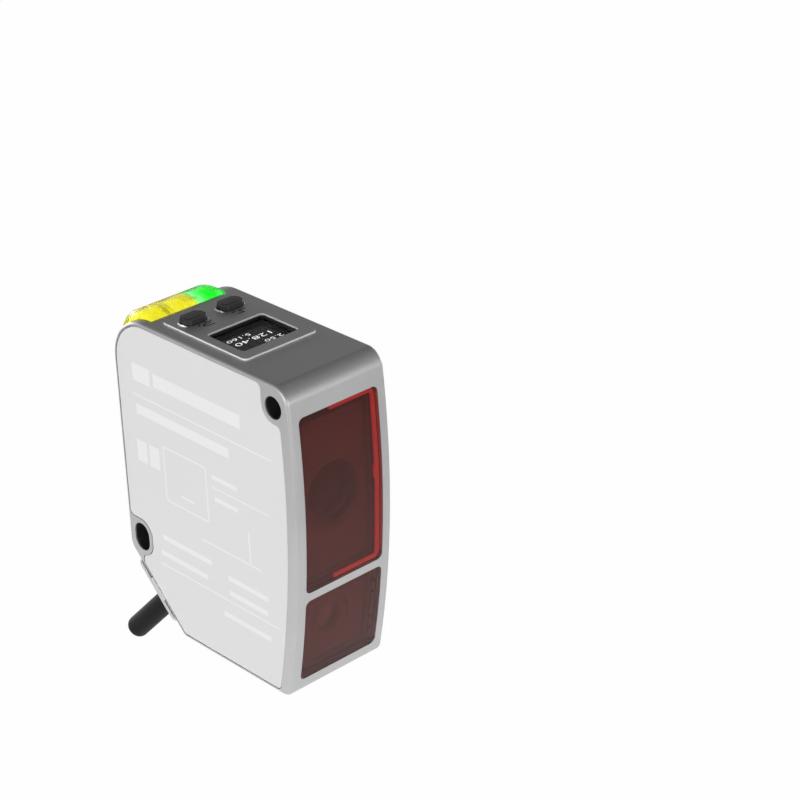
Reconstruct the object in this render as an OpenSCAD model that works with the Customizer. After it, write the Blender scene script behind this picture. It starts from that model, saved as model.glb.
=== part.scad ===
// Laser distance sensor: a die-cast housing with a curved, windowed front,
// a display and two keys on top, three status lights round the upper rear
// corner and a cable gland on the lower rear chamfer.
// Millimetres. X is the width (+X is the label side), the windows face -Y,
// and +Z is up. The origin is the centre of the upper mounting hole.

/* [Housing] */
// Width across the two side faces
body_w = 23; // [22:0.5:25]
// Depth from the foremost line of the front to the rear face
body_d = 51; // [50:0.5:54]
// Height from the base to the top face
body_h = 65; // [63:0.5:68]
// Radius of the curved front face
front_r = 195; // [160:5:260]
// Height of the foremost line of the front face
front_peak = 43; // [41:0.5:45]
// Fillet between the front face and the top
top_front_r = 3.5; // [3:0.5:4.5]
// Fillet between the front face and the base
bottom_front_r = 2.5; // [1.5:0.5:3.5]
// Radius of the upper rear corner
rear_top_r = 9.5; // [8.5:0.5:10.5]
// Leg of the 45 degree chamfer at the lower rear
chamfer = 15; // [14:0.5:16]
// Fillet at the upper end of the chamfer
chamfer_top_r = 3.5; // [2.5:0.5:4.5]
// Fillet at the lower end of the chamfer
chamfer_low_r = 1.2; // [0.6:0.2:1.6]
// Radius of the edges round the two side faces
edge_r = 0.6; // [0.4:0.1:0.7]
// Thickness of the front wall
front_wall = 3.6; // [3.4:0.1:3.9]
// Thickness of the top wall
top_wall = 2.6; // [2.4:0.1:2.9]
// Thickness of the rear wall, the base and the chamfer wall
rear_wall = 1.9; // [1.7:0.1:2.2]
// Thickness of the side wall that carries the label
side_wall = 2.2; // [2:0.1:2.5]

/* [Mounting holes] */
// Radius of the upper mounting hole
hole_r = 2.2; // [1.7:0.1:2.4]
// Distance of the upper hole behind the foremost line
hole_y = 4.8; // [4.6:0.1:5.2]
// Distance of the upper hole below the top face
hole_drop = 4.5; // [4.4:0.1:5]
// Distance of the lower slot in front of the rear face
slot_in = 4; // [3.8:0.1:4.6]
// Height of the lower slot above the base
slot_z = 18; // [17.6:0.2:19]
// Extra height of the lower slot over its width
slot_run = 1.5; // [1:0.1:2]
// Radius of the metal left round both holes beside the cover
boss_r = 3.1; // [3:0.1:3.5]
// Radius of the metal round both holes inside the housing
inner_boss_r = 4.6; // [4.4:0.1:4.8]

/* [Side cover] */
// Thickness of the side cover
cover_t = 1.2; // [1:0.1:1.4]
// Thickness of the gasket under the cover
cover_gasket_t = 0.4; // [0.3:0.1:0.6]
// Metal between the cover and the top, rear and lower edges
cover_rim = 0.8; // [0.7:0.1:1]
// Metal between the cover and the curved front face
cover_front = 2.7; // [2.5:0.1:3]
// Radius of the cover's corners beside the holes
cover_corner = 1.2; // [0.8:0.1:1.6]
// Gap all round the cover
seam = 0.12; // [0.08:0.02:0.2]
// Depth of the lip inside the cover
cover_lip = 0.7; // [0.4:0.1:0.8]

/* [Label] */
// Thickness of the label
label_t = 0.15; // [0.1:0.05:0.2]
// Depth of the field that the label lies in
label_field = 0.2; // [0.2:0.05:0.3]
// Radius of the label's corners
label_corner = 1.2; // [0.8:0.1:1.6]

/* [Windows] */
// Metal beside the windows, on each side
window_side = 2.2; // [2.1:0.1:3]
// Corner radius of the windows
window_corner = 1.1; // [0.8:0.1:1.6]
// Thickness of the windows
window_t = 1.6; // [1.4:0.1:1.7]
// How far the windows lie behind the front face
window_set = 0.15; // [0.1:0.05:0.3]
// Thickness of the gaskets behind the windows
window_gasket_t = 0.4; // [0.3:0.05:0.5]
// Width of the ledge behind the edge of each window
window_ledge = 1; // [0.8:0.1:1.2]
// Height of the lower window's lower edge above the base
emitter_low = 3.4; // [3.2:0.1:4]
// Height of the lower window
emitter_h = 17.9; // [17:0.1:18.5]
// Metal bar between the two windows
window_bar = 1.9; // [1.7:0.1:2.4]
// Metal between the upper window and the top face
receiver_top = 6.2; // [6:0.1:7]

/* [Top panel] */
// Top face beside the raised panel, on each side
panel_side = 2.9; // [2.6:0.1:3.3]
// Length of the raised panel, front to rear
panel_l = 23.8; // [23.4:0.2:24.4]
// Distance of the panel in front of the rear face
panel_in = 11.9; // [11.6:0.1:12.2]
// Height of the panel over the top face
panel_h = 0.4; // [0.2:0.05:0.5]
// Corner radius of the panel
panel_corner = 1; // [0.8:0.1:1.6]
// Corner radius of the display opening
display_corner = 0.9; // [0.8:0.1:1.4]
// Metal beside the display opening, on each side
display_side = 1.9; // [1.7:0.1:2.3]
// Panel behind the display opening, where the keys are
key_field = 10.5; // [10.3:0.1:11]
// Distance of the display opening behind the panel's front edge
display_in = 2.7; // [2.3:0.1:3]
// How far the display glass lies below the panel
glass_drop = 0.8; // [0.7:0.05:0.9]
// How far the collar round the glass lies below the panel
collar_drop = 0.4; // [0.3:0.05:0.5]
// Width of the collar round the glass
collar_w = 0.3; // [0.2:0.05:0.35]
// Thickness of the display glass
glass_t = 0.9; // [0.7:0.1:1]
// Thickness of the gasket under the display glass
glass_gasket_t = 0.3; // [0.2:0.05:0.4]
// Width of the ledge under the edge of the display glass
glass_ledge = 1; // [0.8:0.1:1.2]

/* [Keys] */
// Length of a key cap
key_l = 5.4; // [5:0.1:5.6]
// Width of a key cap
key_w = 3.5; // [3.2:0.1:3.7]
// Distance of each key from the middle
key_x = 4.4; // [4.2:0.1:4.5]
// Distance of the keys in front of the panel's rear edge
key_in = 4; // [3.8:0.1:4.3]
// Height of the key caps over the panel
key_h = 1.1; // [0.8:0.1:1.3]
// Travel of the keys
key_travel = 0.4; // [0.3:0.05:0.5]
// Gap between a key cap and its hole
key_gap = 0.15; // [0.12:0.01:0.2]
// Radius of the plunger under a key
plunger_r = 0.9; // [0.7:0.1:1]

/* [Status lights] */
// Outer radius of the light guides' arch
guide_arch = 7.85; // [7.5:0.05:8.2]
// Height of the arch over the top face, and over the rear face
guide_proud = 0.9; // [0.7:0.1:1.1]
// Corner radius round which the lights' cells lie, taken at the housing's faces
guide_corner = 5.5; // [5:0.5:6.5]
// Depth of the light guides below the housing's faces
guide_t = 1.6; // [1.4:0.1:1.7]
// Width of each yellow light guide
yellow_w = 5.45; // [5.3:0.05:5.6]
// Length of the guides over the top face and down the rear face
guide_reach = 9.8; // [9.6:0.1:10.2]
// Distance of the lights from the cover's face
guide_in_cover = 2.1; // [2:0.05:2.3]
// Distance of the lights from the label's face
guide_in_label = 3.1; // [2.9:0.1:3.3]
// Gap between neighbouring guides
guide_gap = 0.1; // [0.05:0.01:0.15]
// Length over which the two ends of the row of lights are rounded
guide_round = 1.5; // [1:0.1:2]

/* [Cable gland] */
// Length of the gland plate along the chamfer
plate_l = 14.8; // [14.2:0.1:15]
// Corner radius of the gland plate
plate_corner = 1.6; // [1.2:0.1:2.4]
// Thickness of the gland plate
plate_t = 1.2; // [1:0.05:1.3]
// Thickness of the seal under the plate
plate_seal_t = 0.15; // [0.1:0.05:0.3]
// Length of the tab at each end of the plate
tab_l = 5.2; // [4.6:0.1:5.8]
// Depth of the tabs below the chamfer
tab_d = 0.6; // [0.4:0.05:0.65]
// Radius of the cable jacket
cable_r = 2.35; // [2.2:0.05:2.45]
// Gap between the cable and what it passes through
cable_gap = 0.06; // [0.04:0.01:0.1]

/* [Optics] */
// Height of the receiving lens above the base
lens_z = 40; // [38.5:0.5:41]
// Diameter of the receiving lens
lens_d = 12; // [11.4:0.1:12.4]
// Height of the laser above the base
laser_z = 12.3; // [12:0.1:12.6]
// Diameter of the laser barrel
barrel_d = 9; // [8.4:0.1:9.2]
// Length of the laser barrel
barrel_l = 12.4; // [11.8:0.1:12.8]
// Depth of the bench's front block, from the foremost line
bench_d = 10.5; // [10:0.1:11]
// Distance of the image sensor bracket's rear face behind the foremost line
bracket_y = 24.5; // [24:0.1:24.8]

/* [Circuit boards] */
// Thickness of the main board
board_t = 1.2; // [1:0.1:1.4]
// Thickness of the small boards
small_board_t = 1; // [0.8:0.1:1.1]
// Height of the posts under the main board
post_h = 1.6; // [1.4:0.1:1.8]
// Distance of the top board below the top wall
top_board_drop = 3.2; // [3:0.1:3.4]

/* [Hidden] */
$fn = 48;
fine = 360;           // facets of the large front curve
far = 80;             // reach of cutting shapes beyond the body
nib = 0.5;            // overrun of a cut through a face
fit = 0.1;            // clearance between fixed pieces that slot together
ones = [1, 1, 1, 1, 1, 1, 1];

silver = "silver";
dark = "#222222";

// Datum lines in the side view (y from the foremost line, z from the base)
side_out = body_w / 2;
hole_z = body_h - hole_drop;
slot_y = body_d - slot_in;
chamfer_line = body_d - chamfer;
chamfer_mid = [body_d - chamfer / 2, chamfer / 2];
room_left = -side_out + cover_t + cover_gasket_t;
room_right = side_out - side_wall;
room_top = body_h - top_wall;
panel_z = body_h + panel_h;
panel_rear = body_d - panel_in;
panel_front = panel_rear - panel_l;

// Outlines in the side view: distances kept from the front, top, rear, base
// and chamfer, and the radii kept round the upper hole and the slot
cover_edges = [cover_front, cover_rim, cover_rim, cover_rim, cover_rim,
    boss_r + seam, boss_r + seam];
room_edges = [front_wall, top_wall, rear_wall, rear_wall, rear_wall,
    inner_boss_r, inner_boss_r];
label_edges = [2.5, 2.7, 1.6, 2.2, 1.3, 4.3, 4.4];

// Windows
window_w = body_w - 2 * window_side;
emitter_top = emitter_low + emitter_h;
receiver_low = emitter_top + window_bar;
receiver_high = body_h - receiver_top;

// Display and keys
panel_w = body_w - 2 * panel_side;
display_w = panel_w - 2 * display_side;
display_l = panel_l - display_in - key_field;
display_y = panel_front + display_in + display_l / 2;
glass_top = panel_z - glass_drop;
glass_shelf = glass_top - glass_t - glass_gasket_t;
key_y = panel_rear - key_in;
flange_t = 0.5;
flange_over = 0.8;
flange_play = 0.05;
flange_top = room_top - flange_play;
flange_low = flange_top - flange_t;
seal_h = 0.9;
seal_over = 0.9;
seal_play = 0.06;
board_top = room_top - top_board_drop;
switch_h = 1.8;
switch_size = 4.4;
plunger_play = 0.08;
plunger_low = board_top + switch_h - 0.6;
well_low = plunger_low - key_travel - fit;

// Status lights
guide_left = -side_out + guide_in_cover;
guide_right = side_out - guide_in_label;
guide_y = body_d - guide_reach;
guide_z = body_h - guide_reach;
lip = 0.8;
lip_t = 1.1;
cell_t = 0.8;
// The lights' board lies on a diagonal of the side view, where y + z is constant
cell_depth = 4;
crest = body_d + body_h - 2 * guide_t - 2 * (guide_corner - guide_t) * (1 - sqrt(0.5));
cell_floor = crest - cell_depth * sqrt(2);

// Cable gland, in a frame on the chamfer: x across, s down the chamfer, t outwards
plate_w = body_w - 0.1;
plate_top = plate_seal_t + plate_t;
band_x = 3.3;
band_rise = 0.4;
collar_r = cable_r + 1;
collar_top = plate_top + band_rise + 0.4;
port_in = band_x + 0.1;
port_out = plate_w / 2 - 1.6;
port_w = 3.4;
port_s = 3.8;
seal_side = 2.45;
tab_t = 2.2;
grommet_r = 4;
grommet_flange_r = 4.6;
grommet_flange_t = 1.2;

// Optics
bench_left = -7.5;
bench_top = hole_z - inner_boss_r - 0.5;
web_t = 2;
lens_r = lens_d / 2;
lens_seat = 8.5;
lens_edge = 1.6;
lens_bulge = 1.8;
lens_sphere = (lens_r * lens_r + lens_bulge * lens_bulge) / (2 * lens_bulge);
ring_hole_r = lens_r - 0.9;
ring_back = lens_seat - lens_edge - lens_bulge
    + lens_sphere - sqrt(lens_sphere * lens_sphere - ring_hole_r * ring_hole_r) - 0.02;
ring_t = 1.1;
bracket_t = 2.5;
sensor = [10.4, 1.8, 5];
sensor_board_w = 13.2;
sensor_board_h = 12;
barrel_r = barrel_d / 2;
barrel_front = front_y(laser_z) + front_wall + 0.6;
barrel_rear = barrel_front + barrel_l;
collimator_r = 3;
collimator_t = 2.2;
diode_r = 2.8;
diode_pin_l = 1;

// Main board
board_right = room_right - post_h;
board_left = board_right - board_t;
board_front = bracket_y + 1.5;
board_low = 8;
board_high = body_h - 13;
board_rear = body_d - rear_wall - 1.6;
board_notch_y = slot_y - inner_boss_r - 0.6;
board_notch_z = slot_z + slot_run / 2 + inner_boss_r + 0.6;
board_span = board_notch_y - board_front;
cable_in = 6;
core_run = 1.86;
connector = [4.8, 4, 4.6];
plug_y = chamfer_mid[0] - cable_in / sqrt(2) - core_run - connector[1];
plug_z = board_low + 0.8;
can_r = 0.158 * board_span;
can_l = 5.4;
post_r = 2;
screw_r = 0.95;
screw_play = 0.05;
post_play = 0.5;
ribbon_hold = 1.4;
head_r = 1.7;
posts = [[board_front + 3, plug_z + connector[2] + head_r + post_play],
    [board_front + 3, board_high - 3.5], [board_rear - 3, board_notch_z + 3]];
can_z = posts[0][1] + head_r + can_r + 0.2;
chip_row_z = can_z + can_r + 3.3;
bench_screw_places = [[15, 27.5], [15, bench_top - 3]];
display_grip = 0.4;
display_rear = display_y + display_l / 2 + display_grip;
top_post_y = (display_rear + key_y - key_w / 2 - seal_over) / 2;
top_post_r = 1.6;
top_posts = [[-6, top_post_y], [6, top_post_y]];
top_board_front = display_y - display_l / 2 - display_grip - 1;
top_board_rear = panel_rear + 0.4;
top_board_half = room_right - 0.9;

// The route of the cable's centre, in the gland's frame
cable_route = [
    [0, 0, -cable_in], [0, 0, -2], [0, 0, 2], [0, 0, 6], [0, 0, 10], [0, 0, 14],
    [0, 0, 18], [0, 0, 22], [0, 0, 26], [0, 0, 30], [0, 0, 34]
];
cable_sides = 12;

// Depth of the front face behind its foremost line at height z
function front_y(z) = front_r - sqrt(front_r * front_r - (z - front_peak) * (z - front_peak));
// Depth of a fillet's centre that touches the front curve at height z
function fillet_y(z, r) = front_r - sqrt(pow(front_r - r, 2) - pow(z - front_peak, 2));

// Frames

module placed() {
    translate([0, -hole_y, -hole_z]) children();
}

// Draws a side view (y, z) from one x to another
module across(x0, x1) {
    translate([x0, 0, 0]) rotate([90, 0, 90]) linear_extrude(x1 - x0) children();
}

// Draws a plan (x, y) from one height to another
module rise(z0, z1) {
    translate([0, 0, z0]) linear_extrude(z1 - z0) children();
}

// Draws a front view (x, z) from one depth to another
module aft(y0, y1) {
    translate([0, y1, 0]) rotate([90, 0, 0]) linear_extrude(y1 - y0) children();
}

module on_chamfer() {
    translate([0, chamfer_mid[0], chamfer_mid[1]]) rotate([-135, 0, 0]) children();
}

// A frame on the lights' diagonal, at a given sum of y and z
module on_diagonal(sum) {
    translate([0, (sum + body_d - body_h) / 2, (sum - body_d + body_h) / 2])
        rotate([-45, 0, 0]) children();
}

// Shapes that repeat

module round_rect(w, h, r) {
    square([w - 2 * r, h], center = true);
    square([w, h - 2 * r], center = true);
    for (x = [-1, 1], y = [-1, 1])
        translate([x * (w / 2 - r), y * (h / 2 - r)]) circle(r);
}

module stadium(l, w) {
    square([l - w, w], center = true);
    for (x = [-1, 1]) translate([x * (l - w) / 2, 0]) circle(w / 2);
}

// A round bar along x
module cross_bar(r, x0, x1, y, z) {
    translate([x0, y, z]) rotate([0, 90, 0]) cylinder(r = r, h = x1 - x0);
}

// What is left outside a fillet of radius r about c, between two directions
module corner_cut(c, r, a1, a2) {
    difference() {
        polygon([c, c + 3 * r * [cos(a1), sin(a1)],
            c + 5 * r * [cos((a1 + a2) / 2), sin((a1 + a2) / 2)],
            c + 3 * r * [cos(a2), sin(a2)]]);
        translate(c) circle(r);
    }
}

// A screw with its head on the plane z = 0 and its shank below
module screw(head_r, head_h, shank_l) {
    difference() {
        cylinder(r = head_r, h = head_h);
        translate([0, 0, head_h - 0.6]) cylinder(r = head_r / 2, h = 1, $fn = 6);
    }
    translate([0, 0, -shank_l]) cylinder(r = screw_r, h = shank_l);
}

// Side view outlines

module body_outline() {
    top_c = [fillet_y(body_h - top_front_r, top_front_r), body_h - top_front_r];
    low_c = [fillet_y(bottom_front_r, bottom_front_r), bottom_front_r];
    top_shift = chamfer_top_r * (sqrt(2) - 1);
    low_shift = chamfer_low_r * (sqrt(2) - 1);
    difference() {
        intersection() {
            translate([front_r, front_peak]) circle(front_r, $fn = fine);
            polygon([[-5, 0], [chamfer_line, 0], [body_d, chamfer], [body_d, body_h], [-5, body_h]]);
        }
        corner_cut(top_c, top_front_r, atan2(top_c[1] - front_peak, top_c[0] - front_r), 90);
        corner_cut(low_c, bottom_front_r, atan2(low_c[1] - front_peak, low_c[0] - front_r), -90);
        corner_cut([body_d - rear_top_r, body_h - rear_top_r], rear_top_r, 0, 90);
        corner_cut([body_d - chamfer_top_r, chamfer + top_shift], chamfer_top_r, -45, 0);
        corner_cut([chamfer_line - low_shift, chamfer_low_r], chamfer_low_r, -90, -45);
    }
}

// The body's outline brought in by e, clear of both mounting holes
module side_outline(e) {
    line = chamfer_line - e[4] * sqrt(2);
    corner = rear_top_r - max(e[1], e[2]);
    difference() {
        intersection() {
            translate([front_r, front_peak]) circle(front_r - e[0], $fn = fine);
            polygon([[-5, e[3]], [line + e[3], e[3]], [body_d - e[2], body_d - e[2] - line],
                [body_d - e[2], body_h - e[1]], [-5, body_h - e[1]]]);
        }
        corner_cut([body_d - e[2] - corner, body_h - e[1] - corner], corner, 0, 90);
        translate([hole_y, hole_z]) {
            circle(e[5]);
            translate([-far, 0]) square([far + e[5], far]);
            translate([-far, -e[5]]) square([far, far]);
        }
        translate([slot_y, slot_z]) {
            for (s = [-1, 1]) translate([0, s * slot_run / 2]) circle(e[6]);
            translate([-e[6], -slot_run / 2]) square([e[6] + 1, slot_run]);
            translate([0, -far]) square([far, far + slot_run / 2 + e[6]]);
        }
    }
}

// The housing

module rounded_body() {
    hull() for (a = [0, 30, 60, 90]) {
        half = side_out - edge_r * (1 - sin(a));
        across(-half, half) offset(delta = -edge_r * (1 - cos(a))) body_outline();
    }
}

// Everything behind the front curve brought in by depth
module behind_front(depth) {
    across(-far, far) translate([front_r, front_peak]) circle(front_r - depth, $fn = fine);
}

// A window-shaped column through the front, grown by g
module window_column(low, high, g) {
    aft(-2, front_wall + 12) translate([0, (low + high) / 2])
        round_rect(window_w + 2 * g, high - low + 2 * g, max(window_corner + g, 0.3));
}

module window_opening(low, high) {
    difference() {
        window_column(low, high, fit);
        behind_front(window_set + window_t + window_gasket_t);
    }
    window_column(low, high, -window_ledge);
}

// The display opening in plan, grown by g
module display_plan(g) {
    round_rect(display_w + 2 * g, display_l + 2 * g, max(display_corner + g, 0.4));
}

module display_opening() {
    translate([0, display_y, 0]) {
        rise(glass_shelf, panel_z + 1) display_plan(0);
        rise(room_top - 1, glass_shelf + nib) display_plan(-glass_ledge);
    }
}

module key_opening(x) {
    translate([x, key_y, 0]) {
        rise(room_top - 1, panel_z + 1) stadium(key_l + 2 * key_gap, key_w + 2 * key_gap);
        rise(room_top - 1, room_top + seal_h)
            stadium(key_l + 2 * seal_over, key_w + 2 * seal_over);
    }
}

module light_opening() {
    g = fit;
    across(guide_left - g, guide_right + g) {
        translate([guide_y - g, guide_z - g]) square([far, far]);
        translate([guide_y - lip - g, room_top - 1]) square([lip + 1, lip_t + g + 1]);
        translate([body_d - rear_wall - 1, guide_z - lip - g]) square([lip_t + g + 1, lip + 1]);
    }
}

module gland_notches() {
    on_chamfer() for (s = [-1, 1])
        translate([s * side_out, 0, 0])
            cube([2 * (tab_t + 2 * fit), tab_l + 2 * fit, 2 * (tab_d + fit)], center = true);
}

module mounting_holes(r) {
    cross_bar(r, -far, far, hole_y, hole_z);
    for (s = [-1, 1]) cross_bar(r, -far, far, slot_y, slot_z + s * slot_run / 2);
    translate([0, slot_y, slot_z]) cube([2 * far, 2 * r, slot_run], center = true);
}

module housing() {
    color(silver) placed() difference() {
        union() {
            difference() {
                rounded_body();
                across(room_left, room_right) side_outline(room_edges);
            }
            translate([0, panel_front + panel_l / 2, 0])
                rise(room_top, panel_z) round_rect(panel_w, panel_l, panel_corner);
            for (p = posts) cross_bar(post_r, board_right, room_right + nib, p[0], p[1]);
            for (p = top_posts) translate([p[0], p[1], board_top])
                cylinder(r = top_post_r, h = top_board_drop + nib);
        }
        across(-far, room_left) cover_outline(seam);
        across(side_out - label_field, far) label_outline(fit);
        window_opening(emitter_low, emitter_top);
        window_opening(receiver_low, receiver_high);
        display_opening();
        for (s = [-1, 1]) key_opening(s * key_x);
        light_opening();
        mounting_holes(hole_r);
        on_chamfer() translate([0, 0, -8]) cylinder(r = grommet_r + fit, h = 16);
        gland_notches();
        for (p = posts) cross_bar(screw_r + screw_play, board_right - 1, room_right + 1.4, p[0], p[1]);
        for (p = bench_screw_places)
            cross_bar(screw_r + screw_play, room_right - 1, room_right + 1.4, p[0], p[1]);
        for (p = top_posts) translate([p[0], p[1], board_top - 1])
            cylinder(r = screw_r + screw_play, h = top_board_drop + 2.2);
    }
}

// Cover and label

// The cover's outline with its corners rounded, grown by g
module cover_outline(g) {
    offset(r = cover_corner + g) offset(delta = -cover_corner) side_outline(cover_edges);
}

module side_cover() {
    color("gainsboro") placed() {
        across(-side_out, -side_out + cover_t) cover_outline(0);
        across(-side_out + cover_t, room_left + cover_lip) difference() {
            side_outline(room_edges + 1.5 * fit * ones);
            side_outline(room_edges + (1.5 * fit + 0.8) * ones);
        }
    }
}

module cover_gasket() {
    color(dark) placed() across(-side_out + cover_t, room_left) difference() {
        cover_outline(0);
        side_outline(room_edges - 0.5 * fit * ones);
    }
}

// The label's outline with its corners rounded, grown by g
module label_outline(g) {
    offset(r = label_corner + g) offset(delta = -label_corner) side_outline(label_edges);
}

module side_label() {
    color("yellow") placed()
        across(side_out - label_field, side_out - label_field + label_t) label_outline(0);
}

// Front windows

module front_window(low, high) {
    color("#5a3538") placed() intersection() {
        difference() {
            window_column(low, high, 0);
            behind_front(window_set + window_t);
        }
        behind_front(window_set);
    }
}

module window_gasket(low, high) {
    color(dark) placed() intersection() {
        difference() {
            window_column(low, high, 0);
            window_column(low, high, -window_ledge + fit);
            behind_front(window_set + window_t + window_gasket_t);
        }
        behind_front(window_set + window_t);
    }
}

module receiver_window() { front_window(receiver_low, receiver_high); }
module emitter_window() { front_window(emitter_low, emitter_top); }
module receiver_gasket() { window_gasket(receiver_low, receiver_high); }
module emitter_gasket() { window_gasket(emitter_low, emitter_top); }

// Display

module display_glass() {
    color("#2a2829") placed() translate([0, display_y, 0])
        rise(glass_top - glass_t, glass_top) display_plan(-1.5 * fit - collar_w);
}

module display_gasket() {
    color(dark) placed() translate([0, display_y, 0]) {
        rise(glass_shelf, glass_shelf + glass_gasket_t) difference() {
            display_plan(-fit);
            display_plan(-glass_ledge + fit / 2);
        }
        rise(glass_shelf, panel_z - collar_drop) difference() {
            display_plan(-fit);
            display_plan(-fit - collar_w);
        }
    }
}

module display_module() {
    color("#333a44") placed() translate([0, display_y, 0]) difference() {
        rise(board_top, room_top) round_rect(display_w, display_l + 2 * display_grip, 0.4);
        rise(room_top - 0.3, room_top + 1)
            round_rect(display_w - 2 * glass_ledge, display_l - 2 * glass_ledge, 0.4);
    }
}

// Keys

module key_cap(x) {
    top = panel_z + key_h;
    bevel = 0.6;
    color("#2b2929") placed() translate([x, key_y, 0]) {
        rise(flange_low, flange_top)
            stadium(key_l + 2 * flange_over, key_w + 2 * flange_over);
        hull() {
            rise(flange_top, top - bevel) stadium(key_l, key_w);
            rise(flange_top, top) stadium(key_l - 2 * bevel, key_w - 2 * bevel);
        }
    }
}

module key_plunger(x) {
    color("#e8e4da") placed() translate([x, key_y, plunger_low])
        cylinder(r = plunger_r, h = flange_low - plunger_low);
}

module cover_side_key() { key_cap(-key_x); }
module label_side_key() { key_cap(key_x); }
module cover_side_plunger() { key_plunger(-key_x); }
module label_side_plunger() { key_plunger(key_x); }

module key_seals() {
    color("#1c1c1c") placed() for (s = [-1, 1]) translate([s * key_x, key_y, 0])
        rise(room_top, room_top + seal_h) difference() {
            stadium(key_l + 2 * seal_over - 0.04, key_w + 2 * seal_over - 0.04);
            stadium(key_l + 2 * seal_play, key_w + 2 * seal_play);
        }
}

module key_switches() {
    color("#3a3a3c") placed() for (s = [-1, 1]) translate([s * key_x, key_y, 0]) difference() {
        rise(board_top, board_top + switch_h) round_rect(switch_size, switch_size, 0.5);
        translate([0, 0, well_low])
            cylinder(r = plunger_r + plunger_play, h = switch_h + 2);
    }
}

module top_board() {
    color("#1f5c3a") placed() difference() {
        rise(board_top - small_board_t, board_top)
            translate([-top_board_half, top_board_front])
                square([2 * top_board_half, top_board_rear - top_board_front]);
        for (p = top_posts) translate([p[0], p[1], board_top - 2 * small_board_t])
            cylinder(r = screw_r + screw_play, h = 3 * small_board_t);
    }
}

// Status lights

// Rounded corner of the side view whose edges lie back from the rear and the top
module light_corner(back, r) {
    difference() {
        translate([guide_y, guide_z]) square([guide_reach - back, guide_reach - back]);
        corner_cut([body_d - back - r, body_h - back - r], r, 0, 90);
    }
}

// The lights' outer line: 0 is flush with the housing and 1 is the full arch
module arch(share) {
    rise_by = share * (guide_proud + rear_top_r - guide_arch);
    intersection() {
        translate([guide_y, guide_z]) square(2 * guide_reach);
        translate([body_d - rear_top_r + rise_by, body_h - rear_top_r + rise_by])
            circle(rear_top_r + share * (guide_arch - rear_top_r), $fn = 144);
    }
}

function guide_start(i) = guide_left + i * (yellow_w + guide_gap);
function guide_end(i) = i == 2 ? guide_right : guide_start(i) + yellow_w;

// The lips that hold the guides behind the edges of their opening, grown by g
module guide_lips(g) {
    translate([guide_y - lip - g, room_top + fit - g]) square([2 * lip + 2 * g, lip_t + 2 * g]);
    translate([body_d - rear_wall + fit - g, guide_z - lip - g])
        square([lip_t + 2 * g, 2 * lip + 2 * g]);
}

// One light guide of the row: at an end of the row it falls to the housing's own corner
module light_guide(i, tint, end_side) {
    left = guide_start(i);
    right = guide_end(i);
    color(tint) placed() difference() {
        union() {
            hull() for (a = end_side == 0 ? [90] : [0:18:90]) {
                in = guide_round * (1 - cos(a));
                across(left + (end_side < 0 ? in : 0), right - (end_side > 0 ? in : 0))
                    arch(sin(a));
            }
            across(left, right) guide_lips(0);
        }
        across(left - nib, right + nib) difference() {
            translate([-nib, -nib]) light_corner(guide_t - nib, guide_corner - guide_t);
            guide_lips(0);
        }
    }
}

module outer_yellow_light_guide() { light_guide(0, "#e6de2e", -1); }
module inner_yellow_light_guide() { light_guide(1, "#e6de2e", 0); }
module green_light_guide() { light_guide(2, "#2be840", 1); }

// A half plane of the side view in front of the diagonal y + z = sum
module before_diagonal(sum) {
    polygon([[sum - far, far], [far, sum - far], [2 * far, sum - far], [2 * far, 2 * far], [sum - far, 2 * far]]);
}

module cell_region() {
    intersection() {
        light_corner(guide_t + fit, guide_corner - guide_t - fit);
        before_diagonal(cell_floor - cell_t * sqrt(2));
        difference() {
            square(far);
            guide_lips(fit);
        }
    }
}

module light_frame() {
    left = guide_left + 0.4;
    right = guide_right - 0.1;
    walls = [left, left + yellow_w - cell_t / 2, left + 2 * yellow_w - cell_t / 2, right - cell_t];
    color("#f0f0ec") placed() {
        for (x = walls) across(x, x + cell_t) cell_region();
        difference() {
            across(left, right) difference() {
                cell_region();
                before_diagonal(cell_floor);
            }
            for (i = [0:2]) on_diagonal(cell_floor)
                translate([led_x(i), 0, 0]) cube([3.4, 3, 4], center = true);
        }
    }
}

function led_x(i) = (guide_start(i) + guide_end(i)) / 2;

module status_leds() {
    color("ivory") placed() for (i = [0:2])
        on_diagonal(cell_floor) translate([led_x(i), 0, -cell_t])
            translate([-1.4, -1.1, 0]) cube([2.8, 2.2, 1.5]);
}

module light_board() {
    middle = (cell_floor - cell_t * sqrt(2) - body_d + body_h) / 2;
    half = (room_top - middle) * sqrt(2) - fit;
    color("#1f5c3a") placed() on_diagonal(cell_floor)
        translate([guide_left + 1.4, -half, -cell_t - small_board_t - 0.02])
            cube([guide_right - guide_left - 2.8, 2 * half, small_board_t]);
}

// Optics

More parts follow.
